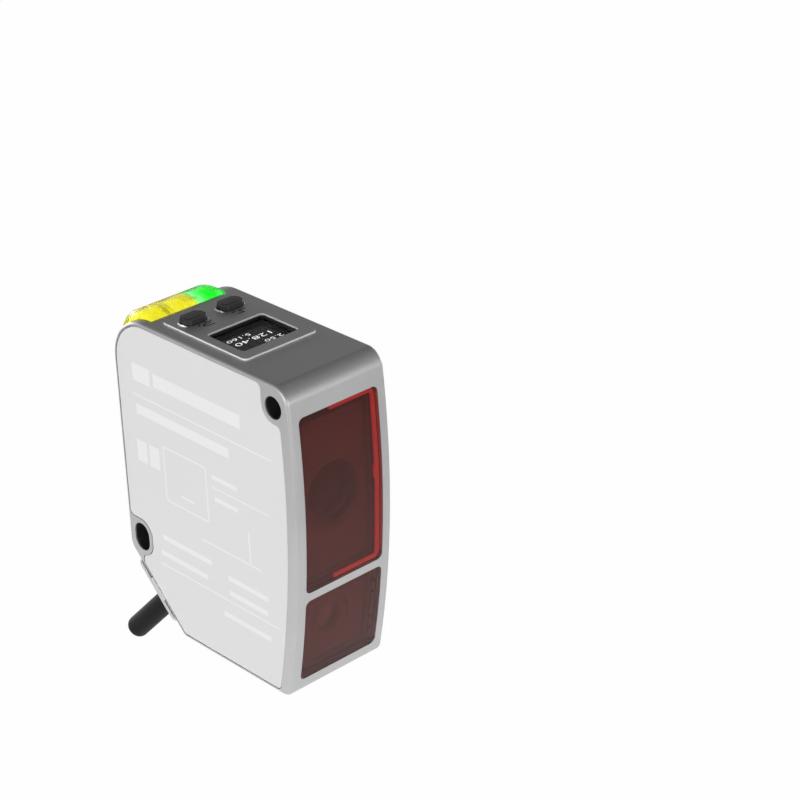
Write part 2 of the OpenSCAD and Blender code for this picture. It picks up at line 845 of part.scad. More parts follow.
module optical_bench() {
    web_left = room_right - web_t;
    bracket_low = lens_z - 10;
    bracket_high = lens_z + 10;
    color("#2a2a2c") placed() difference() {
        union() {
            across(bench_left, room_right) intersection() {
                side_outline(room_edges + fit * ones);
                square([bench_d, bench_top]);
            }
            across(web_left, room_right) translate([bench_d - nib, laser_z + 8])
                square([bracket_y - bench_d + nib, bench_top - laser_z - 8]);
            across(bench_left, room_right) {
                translate([bracket_y - bracket_t, bracket_low])
                    square([bracket_t, bracket_high - bracket_low]);
                for (z = [bracket_low, bracket_high - 1.5])
                    translate([bench_d - nib, z]) square([bracket_y - bench_d, 1.5]);
            }
            translate([0, bench_d - nib, laser_z]) rotate([-90, 0, 0])
                cylinder(r = barrel_r + 2, h = 6 + nib);
        }
        translate([0, -1, lens_z]) rotate([-90, 0, 0]) cylinder(r = lens_r + 0.05, h = lens_seat + 1);
        translate([0, -1, lens_z]) rotate([-90, 0, 0]) cylinder(r = lens_r - 0.8, h = bench_d + 2);
        translate([0, -1, laser_z]) rotate([-90, 0, 0]) cylinder(r = barrel_r + 0.03, h = far);
        translate([0, bracket_y, lens_z])
            cube([sensor[0] + 2 * fit, 4 * bracket_t, sensor[2] + 2 * fit], center = true);
        for (p = bench_screw_places)
            cross_bar(screw_r + screw_play, web_left - 1, room_right + 1, p[0], p[1]);
    }
}

module receiving_lens() {
    front = lens_seat - lens_edge - lens_bulge;
    color("#9fb8c8") placed() translate([0, 0, lens_z]) rotate([-90, 0, 0]) intersection() {
        translate([0, 0, front]) cylinder(r = lens_r, h = lens_edge + lens_bulge);
        translate([0, 0, front + lens_sphere]) sphere(lens_sphere, $fn = 96);
    }
}

module lens_ring() {
    color("#303032") placed() translate([0, ring_back - ring_t, lens_z]) rotate([-90, 0, 0])
        difference() {
            cylinder(r = lens_r, h = ring_t);
            translate([0, 0, -1]) cylinder(r = ring_hole_r, h = ring_t + 2);
        }
}

module image_sensor() {
    color("#15151a") placed() translate([-sensor[0] / 2, bracket_y - sensor[1], lens_z - sensor[2] / 2])
        cube(sensor);
}

module sensor_board() {
    color("#1f5c3a") placed() translate([-sensor_board_w / 2, bracket_y, lens_z - sensor_board_h / 2])
        cube([sensor_board_w, small_board_t, sensor_board_h]);
}

module laser_barrel() {
    color("#b5a642") placed() translate([0, barrel_front, laser_z]) rotate([-90, 0, 0])
        rotate_extrude() difference() {
            square([barrel_r, barrel_l]);
            translate([-1, -1]) square([collimator_r + 0.03 + 1, collimator_t + 2]);
            translate([-1, -1]) square([3, barrel_l + 2]);
            translate([-1, barrel_l - 4]) square([diode_r + 0.03 + 1, 5]);
        }
}

module collimating_lens() {
    bulge = 0.9;
    ball = (collimator_r * collimator_r + bulge * bulge) / (2 * bulge);
    seat = barrel_front + collimator_t + 1;
    color("#9fb8c8") placed() translate([0, seat - collimator_t, laser_z]) rotate([-90, 0, 0])
        intersection() {
            cylinder(r = collimator_r, h = collimator_t);
            translate([0, 0, ball]) sphere(ball, $fn = 96);
        }
}

module laser_diode() {
    seat = barrel_rear - 4;
    color("#c9a548") placed() translate([0, 0, laser_z]) rotate([-90, 0, 0]) {
        translate([0, 0, seat]) cylinder(r = diode_r, h = 1.2);
        translate([0, 0, seat - 1.6]) cylinder(r = 1.9, h = 1.6 + nib);
        for (a = [90, 210, 330]) rotate([0, 0, a]) translate([1.3, 0, seat + 1])
            cylinder(r = 0.23, h = 3 + diode_pin_l - 0.2);
    }
}

module laser_board() {
    color("#1f5c3a") placed() translate([-4.5, barrel_rear + diode_pin_l - 0.2, laser_z - 4.5])
        cube([9, small_board_t, 9]);
}

// Circuit boards

module main_board() {
    slope = 3;
    color("#1f5c3a") placed() difference() {
        across(board_left, board_right) polygon([
            [board_front, board_low], [board_notch_y - 2 * slope, board_low],
            [board_notch_y, board_low + 2 * slope], [board_notch_y, board_notch_z],
            [board_rear, board_notch_z], [board_rear, board_high - slope],
            [board_rear - slope, board_high], [board_front, board_high]
        ]);
        for (p = posts) cross_bar(screw_r + screw_play, board_left - 1, board_right + 1, p[0], p[1]);
    }
}

module chip(y, z, l, h, t) {
    translate([board_left - t, y - l / 2, z - h / 2]) cube([t, l, h]);
}

// A place on the main board, as shares of its length and height
function on_board(u, v) = [
    board_front + u * (board_rear - board_front), board_low + v * (board_high - board_low)];

processor = on_board(0.51, 0.68);
processor_l = 8;

module processor_chip() {
    color("#1a1a1c") placed() chip(processor[0], processor[1], processor_l, processor_l, 1.2);
}

module small_chips() {
    color("#1a1a1c") placed() {
        chip(on_board(0.21, 0)[0], chip_row_z, 4, 5, 1.1);
        chip(on_board(0.53, 0)[0], chip_row_z, 5, 4, 1.1);
        chip(on_board(0.85, 0)[0], on_board(0, 0.61)[1], 3.4, 5, 1.1);
    }
}

module capacitors() {
    color("#5d6270") placed() for (share = [0.316, 0.709])
        cross_bar(can_r, board_left - can_l, board_left, board_front + share * board_span, can_z);
}

module board_screws() {
    color(silver) placed() for (p = posts) translate([board_left, p[0], p[1]])
        rotate([0, -90, 0]) screw(head_r, 1.2, board_t + post_h + 1.2);
}

module bench_screws() {
    color(silver) placed() for (p = bench_screw_places)
        translate([room_right - web_t, p[0], p[1]])
            rotate([0, -90, 0]) screw(head_r, 1.2, web_t + 1.2);
}

module top_board_screws() {
    color(silver) placed() for (p = top_posts)
        translate([p[0], p[1], board_top - small_board_t]) rotate([180, 0, 0])
            screw(head_r, 1.1, small_board_t + top_board_drop + 0.8);
}

// A ribbon from a board's rear face at y0 back to y1 and across to the main board
module ribbon(x, y0, y1, z, w) {
    t = 0.3;
    color("#c77b2b") placed() rise(z - w / 2, z + w / 2) {
        translate([x, y0]) square([t, y1 - y0]);
        translate([x, y1 - t]) square([board_left - x, t]);
    }
}

module sensor_ribbon() {
    ribbon(3.6, bracket_y + small_board_t, processor[0] - processor_l / 2 - 0.5, lens_z, 5);
}

module laser_ribbon() {
    ribbon(2.6, barrel_rear + diode_pin_l - 0.2 + small_board_t, plug_y - 1, laser_z - 0.2, 3);
}

module display_ribbon() {
    front = top_post_y + head_r + post_play;
    rear = top_board_rear - post_play;
    low = board_high - ribbon_hold;
    color("#c77b2b") placed() translate([board_left - 0.3, front, low])
        cube([0.3, rear - front, board_top - small_board_t - low]);
}

// Cable and gland

module wire_connector() {
    color("ivory") placed() translate([board_left - connector[0], plug_y, plug_z]) cube(connector);
}

// A round wire along straight stretches between points
module wire(points, r) {
    for (i = [1:len(points) - 1]) {
        d = points[i] - points[i - 1];
        translate(points[i - 1]) rotate([0, acos(d[2] / norm(d)), atan2(d[1], d[0])])
            cylinder(r = r, h = norm(d));
        if (i < len(points) - 1) translate(points[i]) sphere(1.06 * r);
    }
}

module cable_cores() {
    core_r = 0.36;
    bare = 1.7;
    straight = 1.5;
    in = (bare + cable_in) / sqrt(2);
    sheath = cable_in / sqrt(2);
    color("#b05a2c") placed() for (step = [-1.5:1:1.5]) {
        start = [0, chamfer_mid[0], chamfer_mid[1]] + [0, step, step] / sqrt(2);
        plug = [board_left - connector[0] / 2, plug_y + connector[1], plug_z + connector[2] / 2 + step];
        wire([start + [0, -sheath, sheath], start + [0, -in, in], plug + [0, straight, 0], plug],
            core_r);
    }
}

module cable_grommet() {
    color("#262626") placed() on_chamfer() difference() {
        union() {
            translate([0, 0, -rear_wall]) cylinder(r = grommet_r, h = rear_wall);
            translate([0, 0, -rear_wall - grommet_flange_t]) cylinder(r = grommet_flange_r, h = grommet_flange_t);
        }
        translate([0, 0, -8]) cylinder(r = cable_r + cable_gap, h = 16);
    }
}

// The plate's four ports, flat towards the band and round outside, grown by g
module ports(g) {
    for (x = [-1, 1], s = [-1, 1]) scale([x, s]) translate([0, port_s]) {
        translate([port_in - g, -port_w / 2 - g])
            square([port_out - port_in - port_w / 2 + g, port_w + 2 * g]);
        translate([port_out - port_w / 2, 0]) circle(port_w / 2 + g);
    }
}

module gland_seal() {
    color("#1a1a1a") placed() on_chamfer() difference() {
        union() {
            linear_extrude(plate_seal_t)
                round_rect(plate_w - 2 * seal_side, plate_l - 0.5, plate_corner);
            linear_extrude(plate_seal_t + 0.5) ports(-fit);
        }
        translate([0, 0, -1]) cylinder(r = cable_r + cable_gap, h = 4);
    }
}

module gland_plate() {
    bevel = 0.35;
    color("#c4c4c6") placed() on_chamfer() difference() {
        union() {
            hull() {
                translate([0, 0, plate_seal_t]) linear_extrude(plate_t - bevel)
                    round_rect(plate_w, plate_l, plate_corner);
                translate([0, 0, plate_seal_t]) linear_extrude(plate_t)
                    round_rect(plate_w - 2 * bevel, plate_l - 2 * bevel, plate_corner - bevel);
            }
            translate([0, 0, plate_seal_t]) linear_extrude(plate_t + band_rise)
                round_rect(2 * band_x, plate_l - 1.6, 1.2);
            translate([0, 0, plate_seal_t]) cylinder(r = collar_r, h = collar_top - plate_seal_t);
            for (s = [-1, 1])
                translate([s * (plate_w - tab_t) / 2, 0, (plate_seal_t - tab_d) / 2 + 0.1])
                    cube([tab_t, tab_l, plate_seal_t + tab_d + 0.2], center = true);
        }
        translate([0, 0, -1]) cylinder(r = cable_r + cable_gap, h = 8);
        translate([0, 0, -1]) linear_extrude(6) ports(0);
    }
}

// A tube of flat sides swept along a route
module tube(route, r, sides) {
    n = len(route);
    ends = [for (i = [0:n - 1]) route[min(i + 1, n - 1)] - route[max(i - 1, 0)]];
    rings = [for (i = [0:n - 1]) let (
            t = ends[i] / norm(ends[i]),
            u = [1, 0, 0],
            v = cross(t, u)
        ) for (k = [0:sides - 1]) route[i] + r * (u * cos(360 * k / sides) + v * sin(360 * k / sides))];
    polyhedron(rings, concat(
        [[for (k = [0:sides - 1]) k]],
        [for (i = [0:n - 2], k = [0:sides - 1]) [
            i * sides + k, (i + 1) * sides + k,
            (i + 1) * sides + (k + 1) % sides, i * sides + (k + 1) % sides]],
        [[for (k = [sides - 1:-1:0]) (n - 1) * sides + k]]
    ));
}

module cable() {
    color(dark) placed() on_chamfer() tube(cable_route, cable_r, cable_sides);
}

housing();
side_cover();
cover_gasket();
side_label();
receiver_window();
emitter_window();
receiver_gasket();
emitter_gasket();
display_glass();
display_gasket();
display_module();
cover_side_key();
label_side_key();
cover_side_plunger();
label_side_plunger();
key_seals();
key_switches();
top_board();
green_light_guide();
inner_yellow_light_guide();
outer_yellow_light_guide();
light_frame();
status_leds();
light_board();
optical_bench();
receiving_lens();
lens_ring();
image_sensor();
sensor_board();
laser_barrel();
collimating_lens();
laser_diode();
laser_board();
main_board();
processor_chip();
small_chips();
capacitors();
board_screws();
bench_screws();
top_board_screws();
sensor_ribbon();
display_ribbon();
laser_ribbon();
wire_connector();
cable_cores();
cable_grommet();
gland_seal();
gland_plate();
cable();
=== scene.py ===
"""Laser distance sensor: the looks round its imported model.

Lengths in the property groups, the sizes of noise and bumps, and the widths of broken edges are
metres. The others are millimetres of the drawing, with x across, y back from the foremost line
of the front and z up from the base, unless a comment says otherwise.
"""
import math

import bmesh
import bpy
import numpy as np
from bpy.props import (FloatProperty, FloatVectorProperty, IntProperty, PointerProperty,
                       StringProperty)
from bpy.types import Operator, Panel, PropertyGroup
from mathutils import Matrix, Vector


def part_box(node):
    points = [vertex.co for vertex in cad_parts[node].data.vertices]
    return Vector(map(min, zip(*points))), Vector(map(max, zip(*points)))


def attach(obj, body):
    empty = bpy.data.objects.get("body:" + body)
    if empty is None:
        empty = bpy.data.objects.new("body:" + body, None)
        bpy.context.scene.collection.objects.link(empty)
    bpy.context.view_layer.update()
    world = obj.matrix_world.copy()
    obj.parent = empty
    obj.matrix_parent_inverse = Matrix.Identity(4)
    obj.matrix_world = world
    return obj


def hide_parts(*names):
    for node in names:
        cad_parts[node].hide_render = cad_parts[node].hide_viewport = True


bl_info = {
    "name": "Laser distance sensor",
    "version": (1, 0, 0),
    "blender": (4, 5, 0),
    "location": "View3D > Sidebar > Sensor",
    "description": "Dresses the packed model of a laser distance sensor",
    "category": "Object",
}

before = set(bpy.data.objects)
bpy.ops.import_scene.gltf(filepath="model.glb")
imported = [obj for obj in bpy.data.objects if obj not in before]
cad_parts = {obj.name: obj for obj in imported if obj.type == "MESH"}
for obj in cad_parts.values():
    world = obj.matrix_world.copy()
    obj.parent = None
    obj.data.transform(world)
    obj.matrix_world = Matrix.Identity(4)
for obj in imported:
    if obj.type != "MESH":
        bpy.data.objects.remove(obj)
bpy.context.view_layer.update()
BODY = "body"
MM = 0.001
# Points less than this many metres apart are one
WELD = 2e-7
# Middles of the two mounting holes, along the side and up it
HOLE_MM = (4.8, 60.5)
SLOT_MM = (47.0, 18.0)
# The drawing's origin, seen from the middle of the upper mounting hole
DRAWING = np.array([0.0, -HOLE_MM[0], -HOLE_MM[1]])


def node_box(node):
    """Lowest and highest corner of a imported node, in millimetres of the drawing."""
    low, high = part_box(node)
    return np.array(low) / MM - DRAWING, np.array(high) / MM - DRAWING


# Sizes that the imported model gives
DEPTH_MM, PANEL_TOP_MM = node_box("housing")[1][1:]
GUIDES_LEFT_MM = node_box("outer_yellow_light_guide")[0][0]
GUIDES_RIGHT_MM = node_box("green_light_guide")[1][0]
GLASS_LOW, GLASS_HIGH = node_box("display_glass")
LENS_MM = float(sum(node_box("receiving_lens"))[2] / 2)
# The display's panel stands 0.4 over the housing's top
TOP_MM = PANEL_TOP_MM - 0.4
# Radius of the housing's upper rear corner, which the lights go round
CORNER_MM = 9.5
# Front and lower edge of the lights' opening in the housing
GUIDES_START_MM = (DEPTH_MM - 9.8, TOP_MM - 9.8)
# Radius of the front's curve, and the height of its foremost line
FRONT_MM, PEAK_MM = 195.0, 43.0
# Middle of the chamfer that carries the cable, and the way the cable leaves it
CHAMFER_MM = np.array([0.0, 43.5, 7.5])
OUTWARD = np.array([0.0, 1.0, -1.0]) / math.sqrt(2)
ACROSS = np.array([1.0, 0.0, 0.0])
UPWARD = np.cross(OUTWARD, ACROSS)
# The cable's route: distances along that way from the chamfer's middle
CABLE_STEPS_MM = (-6, -2, 2, 6, 10, 14, 18, 22, 26, 30, 34)


# Properties


def length(name, description, default, low=0.0, high=1.0):
    return FloatProperty(name=name, description=description, default=default, min=low, max=high,
                         unit="LENGTH", precision=5)


def colour(name, owner, default):
    return FloatVectorProperty(name=name, description="Colour of " + owner, default=default,
                               size=3, min=0, max=1, subtype="COLOR")


class SENSOR_PG_metal(PropertyGroup):
    cast: colour("Cast metal", "the die-cast housing", (0.43, 0.43, 0.435))
    # Painted highlight: a near-white colour that stands for the light caught by the panel's walls
    # and the crescents at the key holes
    bare: colour("Edge glint", "the bright walls round the raised panel",
                 (0.95, 0.95, 0.955))
    cover: colour("Cover", "the painted side cover", (0.68, 0.68, 0.685))
    cover_print: colour("Cover print", "the lines on the side cover",
                        (0.775, 0.775, 0.78))
    gland: colour("Gland", "the gland plate", (0.5, 0.5, 0.505))
    grain: length("Grain", "Size of the grain of the cast surface", 0.00016, 0.00002, 0.002)
    edge: length("Edge", "Width of the broken edges of the metal", 0.00027, 0.0, 0.0004)


class SENSOR_PG_print(PropertyGroup):
    yellow: colour("Label yellow", "the label's upper field", (1.0, 0.93, 0.006))
    black: colour("Label black", "the label's lower field", (0.004, 0.003, 0.003))
    border: length("Border height", "Height of the label's colour border over the base",
                   0.0235, 0.01, 0.06)
    line: length("Frame line", "Width of the label's frame line", 0.0013, 0.0002, 0.004)


class SENSOR_PG_windows(PropertyGroup):
    tint: colour("Window tint", "the red windows", (0.345, 0.145, 0.13))
    # Painted light: the rim glows by itself in this colour, for the bright band behind the upper
    # window
    rim: colour("Window rim", "the bright rim behind the upper window",
                (0.62, 0.035, 0.03))
    rim_width: length("Rim width", "Width of the bright rim", 0.0008, 0.0003, 0.003)


class SENSOR_PG_lights(PropertyGroup):
    yellow: colour("Yellow light", "the yellow light guides", (0.76, 0.73, 0.03))
    green: colour("Green light", "the green light guide", (0.02, 0.80, 0.06))
    glow: FloatProperty(name="Glow", description="How much the light guides shine by themselves",
                        default=0.45, min=0, max=3)
    arch: length("Arch", "Outer radius of the light guides", 0.00785, 0.005, 0.0095)
    proud: length("Proud", "How far the light guides stand out of the housing", 0.0009, 0.0, 0.002)
    ends: length("Ends", "Length over which the row's ends fall to the housing", 0.0015, 0.0005,
                 0.003)
    shell: length("Shell", "Thickness of the clear outer layer", 0.0006, 0.0002, 0.0012)


class SENSOR_PG_display(PropertyGroup):
    glass: colour("Glass", "the display glass", (0.5, 0.5, 0.51))
    digits: colour("Digits", "the lit digits", (0.92, 0.93, 0.95))
    small: StringProperty(name="Upper row", description="Digits of the upper row", default="2.50")
    large: StringProperty(name="Middle row", description="Digits of the middle row",
                          default="128.40")
    last: StringProperty(name="Lower row", description="Digits of the lower row", default="5.160")


class SENSOR_PG_keys(PropertyGroup):
    colour: colour("Keys", "the key caps", (0.024, 0.022, 0.022))
    length: length("Length", "Length of a key cap", 0.0054, 0.003, 0.007)
    width: length("Width", "Width of a key cap", 0.0035, 0.002, 0.005)
    shoulder: length("Shoulder", "Width of the cap's broken edges", 0.00016, 0.0001, 0.0003)
    pad: length("Pad", "Distance of the low pad from the cap's edge", 0.0007, 0.0003, 0.001)


class SENSOR_PG_cable(PropertyGroup):
    colour: colour("Jacket", "the cable's jacket", (0.003, 0.003, 0.003))
    radius: length("Radius", "Radius of the cable", 0.00235, 0.001, 0.004)
    sides: IntProperty(name="Sides", description="Faces round the cable", default=64, min=16,
                       max=128)


class SENSOR_PG_stage(PropertyGroup):
    floor: colour("Floor", "the floor", (0.86, 0.86, 0.86))
    lamps: FloatProperty(name="Lamps", description="How many times brighter the lamps are",
                         default=1.0, min=0, max=20)


GROUPS = (SENSOR_PG_metal, SENSOR_PG_print, SENSOR_PG_windows, SENSOR_PG_lights,
          SENSOR_PG_display, SENSOR_PG_keys, SENSOR_PG_cable, SENSOR_PG_stage)


def scene_name(group):
    """Name of the scene's property that holds a group."""
    return group.__name__.replace("SENSOR_PG_", "sensor_")


def settings(group):
    return getattr(bpy.context.scene, "sensor_" + group)


# Shader expressions


def times(tone, factor):
    return [min(1.0, c * factor) for c in tone]


def paler(tone, white):
    """The colour with this share of white in it."""
    return [white + (1 - white) * c for c in tone]


class Val:
    """A socket of a node tree on which sums are written as on a number."""

    def __init__(self, shader, socket):
        self.shader, self.socket = shader, socket

    def __add__(self, other):
        return self.shader.math("ADD", self, other)

    def __sub__(self, other):
        return self.shader.math("SUBTRACT", self, other)

    def __rsub__(self, other):
        return self.shader.math("SUBTRACT", other, self)

    def __mul__(self, other):
        return self.shader.math("MULTIPLY", self, other)

    def __truediv__(self, other):
        return self.shader.math("DIVIDE", self, other)

    def __abs__(self):
        return self.shader.math("ABSOLUTE", self)

    __radd__, __rmul__ = __add__, __mul__


class Shader:
    """The node tree of a new material, or of a new world."""

    def __init__(self, name, kind="materials"):
        self.owner = getattr(bpy.data, kind).new(name)
        self.owner.use_nodes = True
        self.tree = self.owner.node_tree
        self.tree.nodes.clear()

    def feed(self, socket, value):
        if isinstance(value, Val):
            self.tree.links.new(value.socket, socket)
        elif socket.type == "RGBA":
            socket.default_value = (*tuple(value)[:3], 1.0)
        else:
            socket.default_value = value

    def node(self, kind, options=(), inputs=(), out=0):
        """Adds a node, sets its options or the greys of its ramp, then the values or links of
        its sockets. A tuple of outputs gives a list."""
        node = self.tree.nodes.new("ShaderNode" + kind)
        for key, value in dict(options).items():
            if key == "stops":
                for stop, (position, grey) in zip(node.color_ramp.elements, value):
                    stop.position, stop.color = position, (grey, grey, grey, 1)
            else:
                setattr(node, key, value)
        for key, value in dict(inputs).items():
            self.feed(node.inputs[key], value)
        if isinstance(out, tuple):
            return [Val(self, node.outputs[key]) for key in out]
        return Val(self, node.outputs[out])

    def math(self, operation, *values, clamp=False):
        return self.node("Math", {"operation": operation, "use_clamp": clamp},
                         dict(enumerate(values)))

    def clamp(self, value):
        return self.math("ADD", value, 0.0, clamp=True)

    def distance(self, u, v):
        return self.math("SQRT", u * u + v * v)

    def either(self, *masks):
        total = masks[0]
        for mask in masks[1:]:
            total = self.math("MAXIMUM", total, mask)
        return total

    def mix(self, mask, under, over):
        """The colour under where the mask is 0, and the colour over where it is 1."""
        return self.node("Mix", {"data_type": "RGBA"}, {0: mask, 6: under, 7: over}, out=2)

    def blend(self, mask, under, over):
        """The shader under where the mask is 0, and the shader over where it is 1."""
        return self.node("MixShader", inputs={0: mask, 1: under, 2: over})

    def coats(self, base, *coats):
        """The base with the colours of (mask, colour) pairs laid over it in turn."""
        for mask, tone in coats:
            base = self.mix(mask, base, tone)
        return base

    def vary(self, mask, tone, low, high):
        """The colour times low where the mask is 0, and times high where it is 1."""
        return self.mix(mask, times(tone, low), times(tone, high))

    def place(self):
        """The point on the piece, in millimetres of the drawing."""
        point = self.node("SeparateXYZ", inputs={0: self.node("TexCoord", out="Object")},
                          out=(0, 1, 2))
        return [part * (1 / MM) - float(origin) for part, origin in zip(point, DRAWING)]

    def along(self):
        """The place along a light guide and across it, from its UV map."""
        return self.node("SeparateXYZ", inputs={0: self.node("UVMap", {"uv_map": "along"})},
                         out=(0, 1))

    def noise(self, size, detail=3.0, rough=0.5, stretch=(1, 1, 1)):
        """Noise whose lumps are about size metres across."""
        where = self.node("TexCoord", out="Object")
        where = self.node("Mapping", inputs={0: where, 3: tuple(s / size for s in stretch)})
        return self.node("TexNoise", inputs={0: where, 2: 1.0, 3: detail, 4: rough})

    def bump(self, height, distance, strength=0.5):
        return self.node("Bump", inputs={"Height": height, "Distance": distance,
                                         "Strength": strength})

    def field(self, u, v, middle, size, radius, soft):
        """1 inside a rounded rectangle and 0 outside, from the distance to its corner circles."""
        du = self.math("MAXIMUM", abs(u - middle[0]) - (size[0] / 2 - radius), 0.0)
        dv = self.math("MAXIMUM", abs(v - middle[1]) - (size[1] / 2 - radius), 0.0)
        return self.clamp(0.5 - (self.distance(du, dv) - radius) / soft)

    def bars(self, u, v, rows, soft):
        """1 on bars, each given by its middle's two places, its width and its height."""
        radius = 0.15
        return self.either(*[self.field(u, v, (at, row), (wide, tall), radius, soft)
                             for at, row, wide, tall in rows])

    def close(self, surface, kind="Material"):
        """Ends the tree in its output."""
        out = self.tree.nodes.new("ShaderNodeOutput" + kind)
        self.feed(out.inputs[0], surface)
        return self.owner

    def finish(self, **sockets):
        """Ends the tree in a Principled shader, whose sockets are written with underscores."""
        names = {key.replace("_", " "): value for key, value in sockets.items()}
        return self.close(self.node("BsdfPrincipled", inputs=names))

    def grained(self, base, fine, rough, change, depth, strength=0.5, **sockets):
        """Ends the tree in a finish whose roughness and bump follow the grain of a noise."""
        return self.finish(Base_Color=base, Roughness=rough + fine * change,
                           Normal=self.bump(fine, depth, strength), **sockets)


_made = {}


def material(maker, *args):
    """Makes each material once."""
    key = (maker.__name__,) + args
    if key not in _made:
        _made[key] = maker(*args)
    return _made[key]


# Materials


def plain(name, base, rough, metallic=0.0, grain=0.0003, depth=0.00001, vary=0.1):
    """A finish with fine grain: colour, roughness and bump vary together a little."""
    s = Shader(name)
    fine = s.noise(grain, 3.0, 0.6)
    return s.grained(s.vary(fine, base, 1 - vary, 1 + vary), fine, rough - 0.05, 0.1, depth, 0.6,
                     Metallic=metallic)


# Colour, roughness, metallic, size of the grain and its depth
FINISHES = {
    "black_rubber": ((0.012, 0.012, 0.012), 0.6, 0.0, 0.0003, 0.00002),
    "grey_rubber": ((0.15, 0.14, 0.14), 0.7, 0.0, 0.0003, 0.00002),
    "black_plastic": ((0.02, 0.02, 0.021), 0.42, 0.0, 0.0002),
    "grey_plastic": ((0.13, 0.13, 0.13), 0.6),
    "white_plastic": ((0.72, 0.71, 0.68), 0.4, 0.0, 0.0004),
    "engraved_mark": ((0.05, 0.05, 0.05), 0.6),
    "barrel": ((0.36, 0.31, 0.27), 0.5, 0.3, 0.0004),
    "chip": ((0.012, 0.012, 0.014), 0.4, 0.0, 0.0002),
    "can": ((0.13, 0.14, 0.18), 0.35, 0.3, 0.0005),
    "brass": ((0.62, 0.42, 0.14), 0.3, 1.0, 0.0004),
    "steel": ((0.55, 0.55, 0.56), 0.28, 1.0, 0.0004),
    "ribbon": ((0.50, 0.20, 0.05), 0.35, 0.0, 0.0006),
    "insulation_0": ((0.16, 0.05, 0.02), 0.35),
    "insulation_1": ((0.75, 0.74, 0.70), 0.35),
    "insulation_2": ((0.02, 0.07, 0.42), 0.35),
    "insulation_3": ((0.02, 0.02, 0.02), 0.35),
}


def finish_of(name):
    return plain(name, *FINISHES[name])


def cast_metal():
    """Satin die-cast metal: fine grain, a faint cloudiness and small scratches. The walls of the
    display's panel carry a painted highlight in a near-white colour, the ledges behind the windows
    are matt, and the insides of the mounting holes and the slot are painted near-black as painted
    shade."""
    metal = settings("metal")
    s = Shader("cast_metal")
    grain = s.noise(metal.grain, 4.0, 0.6)
    cloud = s.noise(0.009, 2.0)
    scratch = s.noise(0.0006, 2.0, stretch=(1, 0.05, 0.4))
    x, y, z = s.place()
    half_wall, ledge_depth = 0.192, 14.0
    # Painted highlight: a band at the height of the panel's raised walls gets the near-white edge
    # colour and less metal
    wall = s.clamp((half_wall - abs(z - (TOP_MM + PANEL_TOP_MM) / 2)) * 40)
    behind = y - (z - PEAK_MM) * (z - PEAK_MM) / (2 * FRONT_MM)
    ledge = s.field(x, z, (0, 32.5), (19.0, 59.0), 1.0, 0.2)
    ledge = ledge * s.clamp((behind - 0.9) * 6) * s.clamp((ledge_depth - y) * 2)
    bore, slot_height, face = 4.7, 6.2, 11.3
    hole = s.field(y, z, HOLE_MM, (bore, bore), bore / 2, 0.1)
    slot = s.field(y, z, SLOT_MM, (bore, slot_height), bore / 2, 0.1)
    # Painted shade: inside the mounting hole and the slot the metal is painted near-black
    deep = s.either(hole, slot) * s.clamp((face - abs(x)) * 5)
    base = s.coats(s.vary(cloud, metal.cast, 0.94, 1.06), (wall, metal.bare),
                   (ledge, (0.4, 0.36, 0.36)), (deep, (0.03, 0.03, 0.031)))
    return s.finish(Base_Color=base,
                    Metallic=s.clamp(0.55 - deep * 0.45 - wall * 0.5 - ledge * 0.55),
                    Roughness=0.36 + grain * 0.08 + cloud * 0.05 + scratch * 0.03,
                    Normal=s.bump(grain, 0.000012, 0.6))


# Near-white finish of the key holes' crescents: a painted highlight where the holes' edges catch
# the light
def bare_metal():
    return plain("bare_metal", settings("metal").bare, 0.3, 0.1, vary=0.04)


def cover_paint():
    """Pale matt paint with bars, rules and a thin frame that are a little lighter."""
    metal = settings("metal")
    s = Shader("cover_paint")
    y, z = s.place()[1:]
    grain = s.noise(metal.grain * 0.8, 3.0, 0.6)
    soft = 0.12
    bars = s.bars(y, z, (
        (43.0, 54.3, 5.2, 3.6), (26.9, 54.3, 25.0, 2.8), (26.1, 49.5, 40.0, 0.35),
        (31.7, 46.6, 27.0, 2.1), (44.5, 37.6, 3.0, 4.6), (40.8, 37.6, 3.0, 4.6),
        (31.5, 32.0, 4.0, 0.5), (20.1, 39.9, 7.2, 0.9), (15.8, 37.7, 16.0, 0.3),
        (19.9, 35.4, 6.7, 0.9), (19.5, 25.0, 17.0, 0.4), (13.9, 28.6, 0.4, 6.8),
        (32.9, 20.7, 14.6, 1.1), (34.1, 17.0, 14.2, 1.1), (24.2, 14.4, 35.0, 0.35),
        (15.1, 19.5, 11.5, 1.1), (15.2, 16.3, 11.0, 1.1), (16.0, 11.0, 13.5, 1.1)), soft)
    middle = (31.7, 35.3)
    box = s.field(y, z, middle, (12.8, 11.8), 0.8, soft) - s.field(
        y, z, middle, (12.1, 11.1), 0.5, soft)
    base = s.mix(s.either(box, bars), metal.cover, metal.cover_print)
    return s.grained(base, grain, 0.5, 0.1, 0.00001)


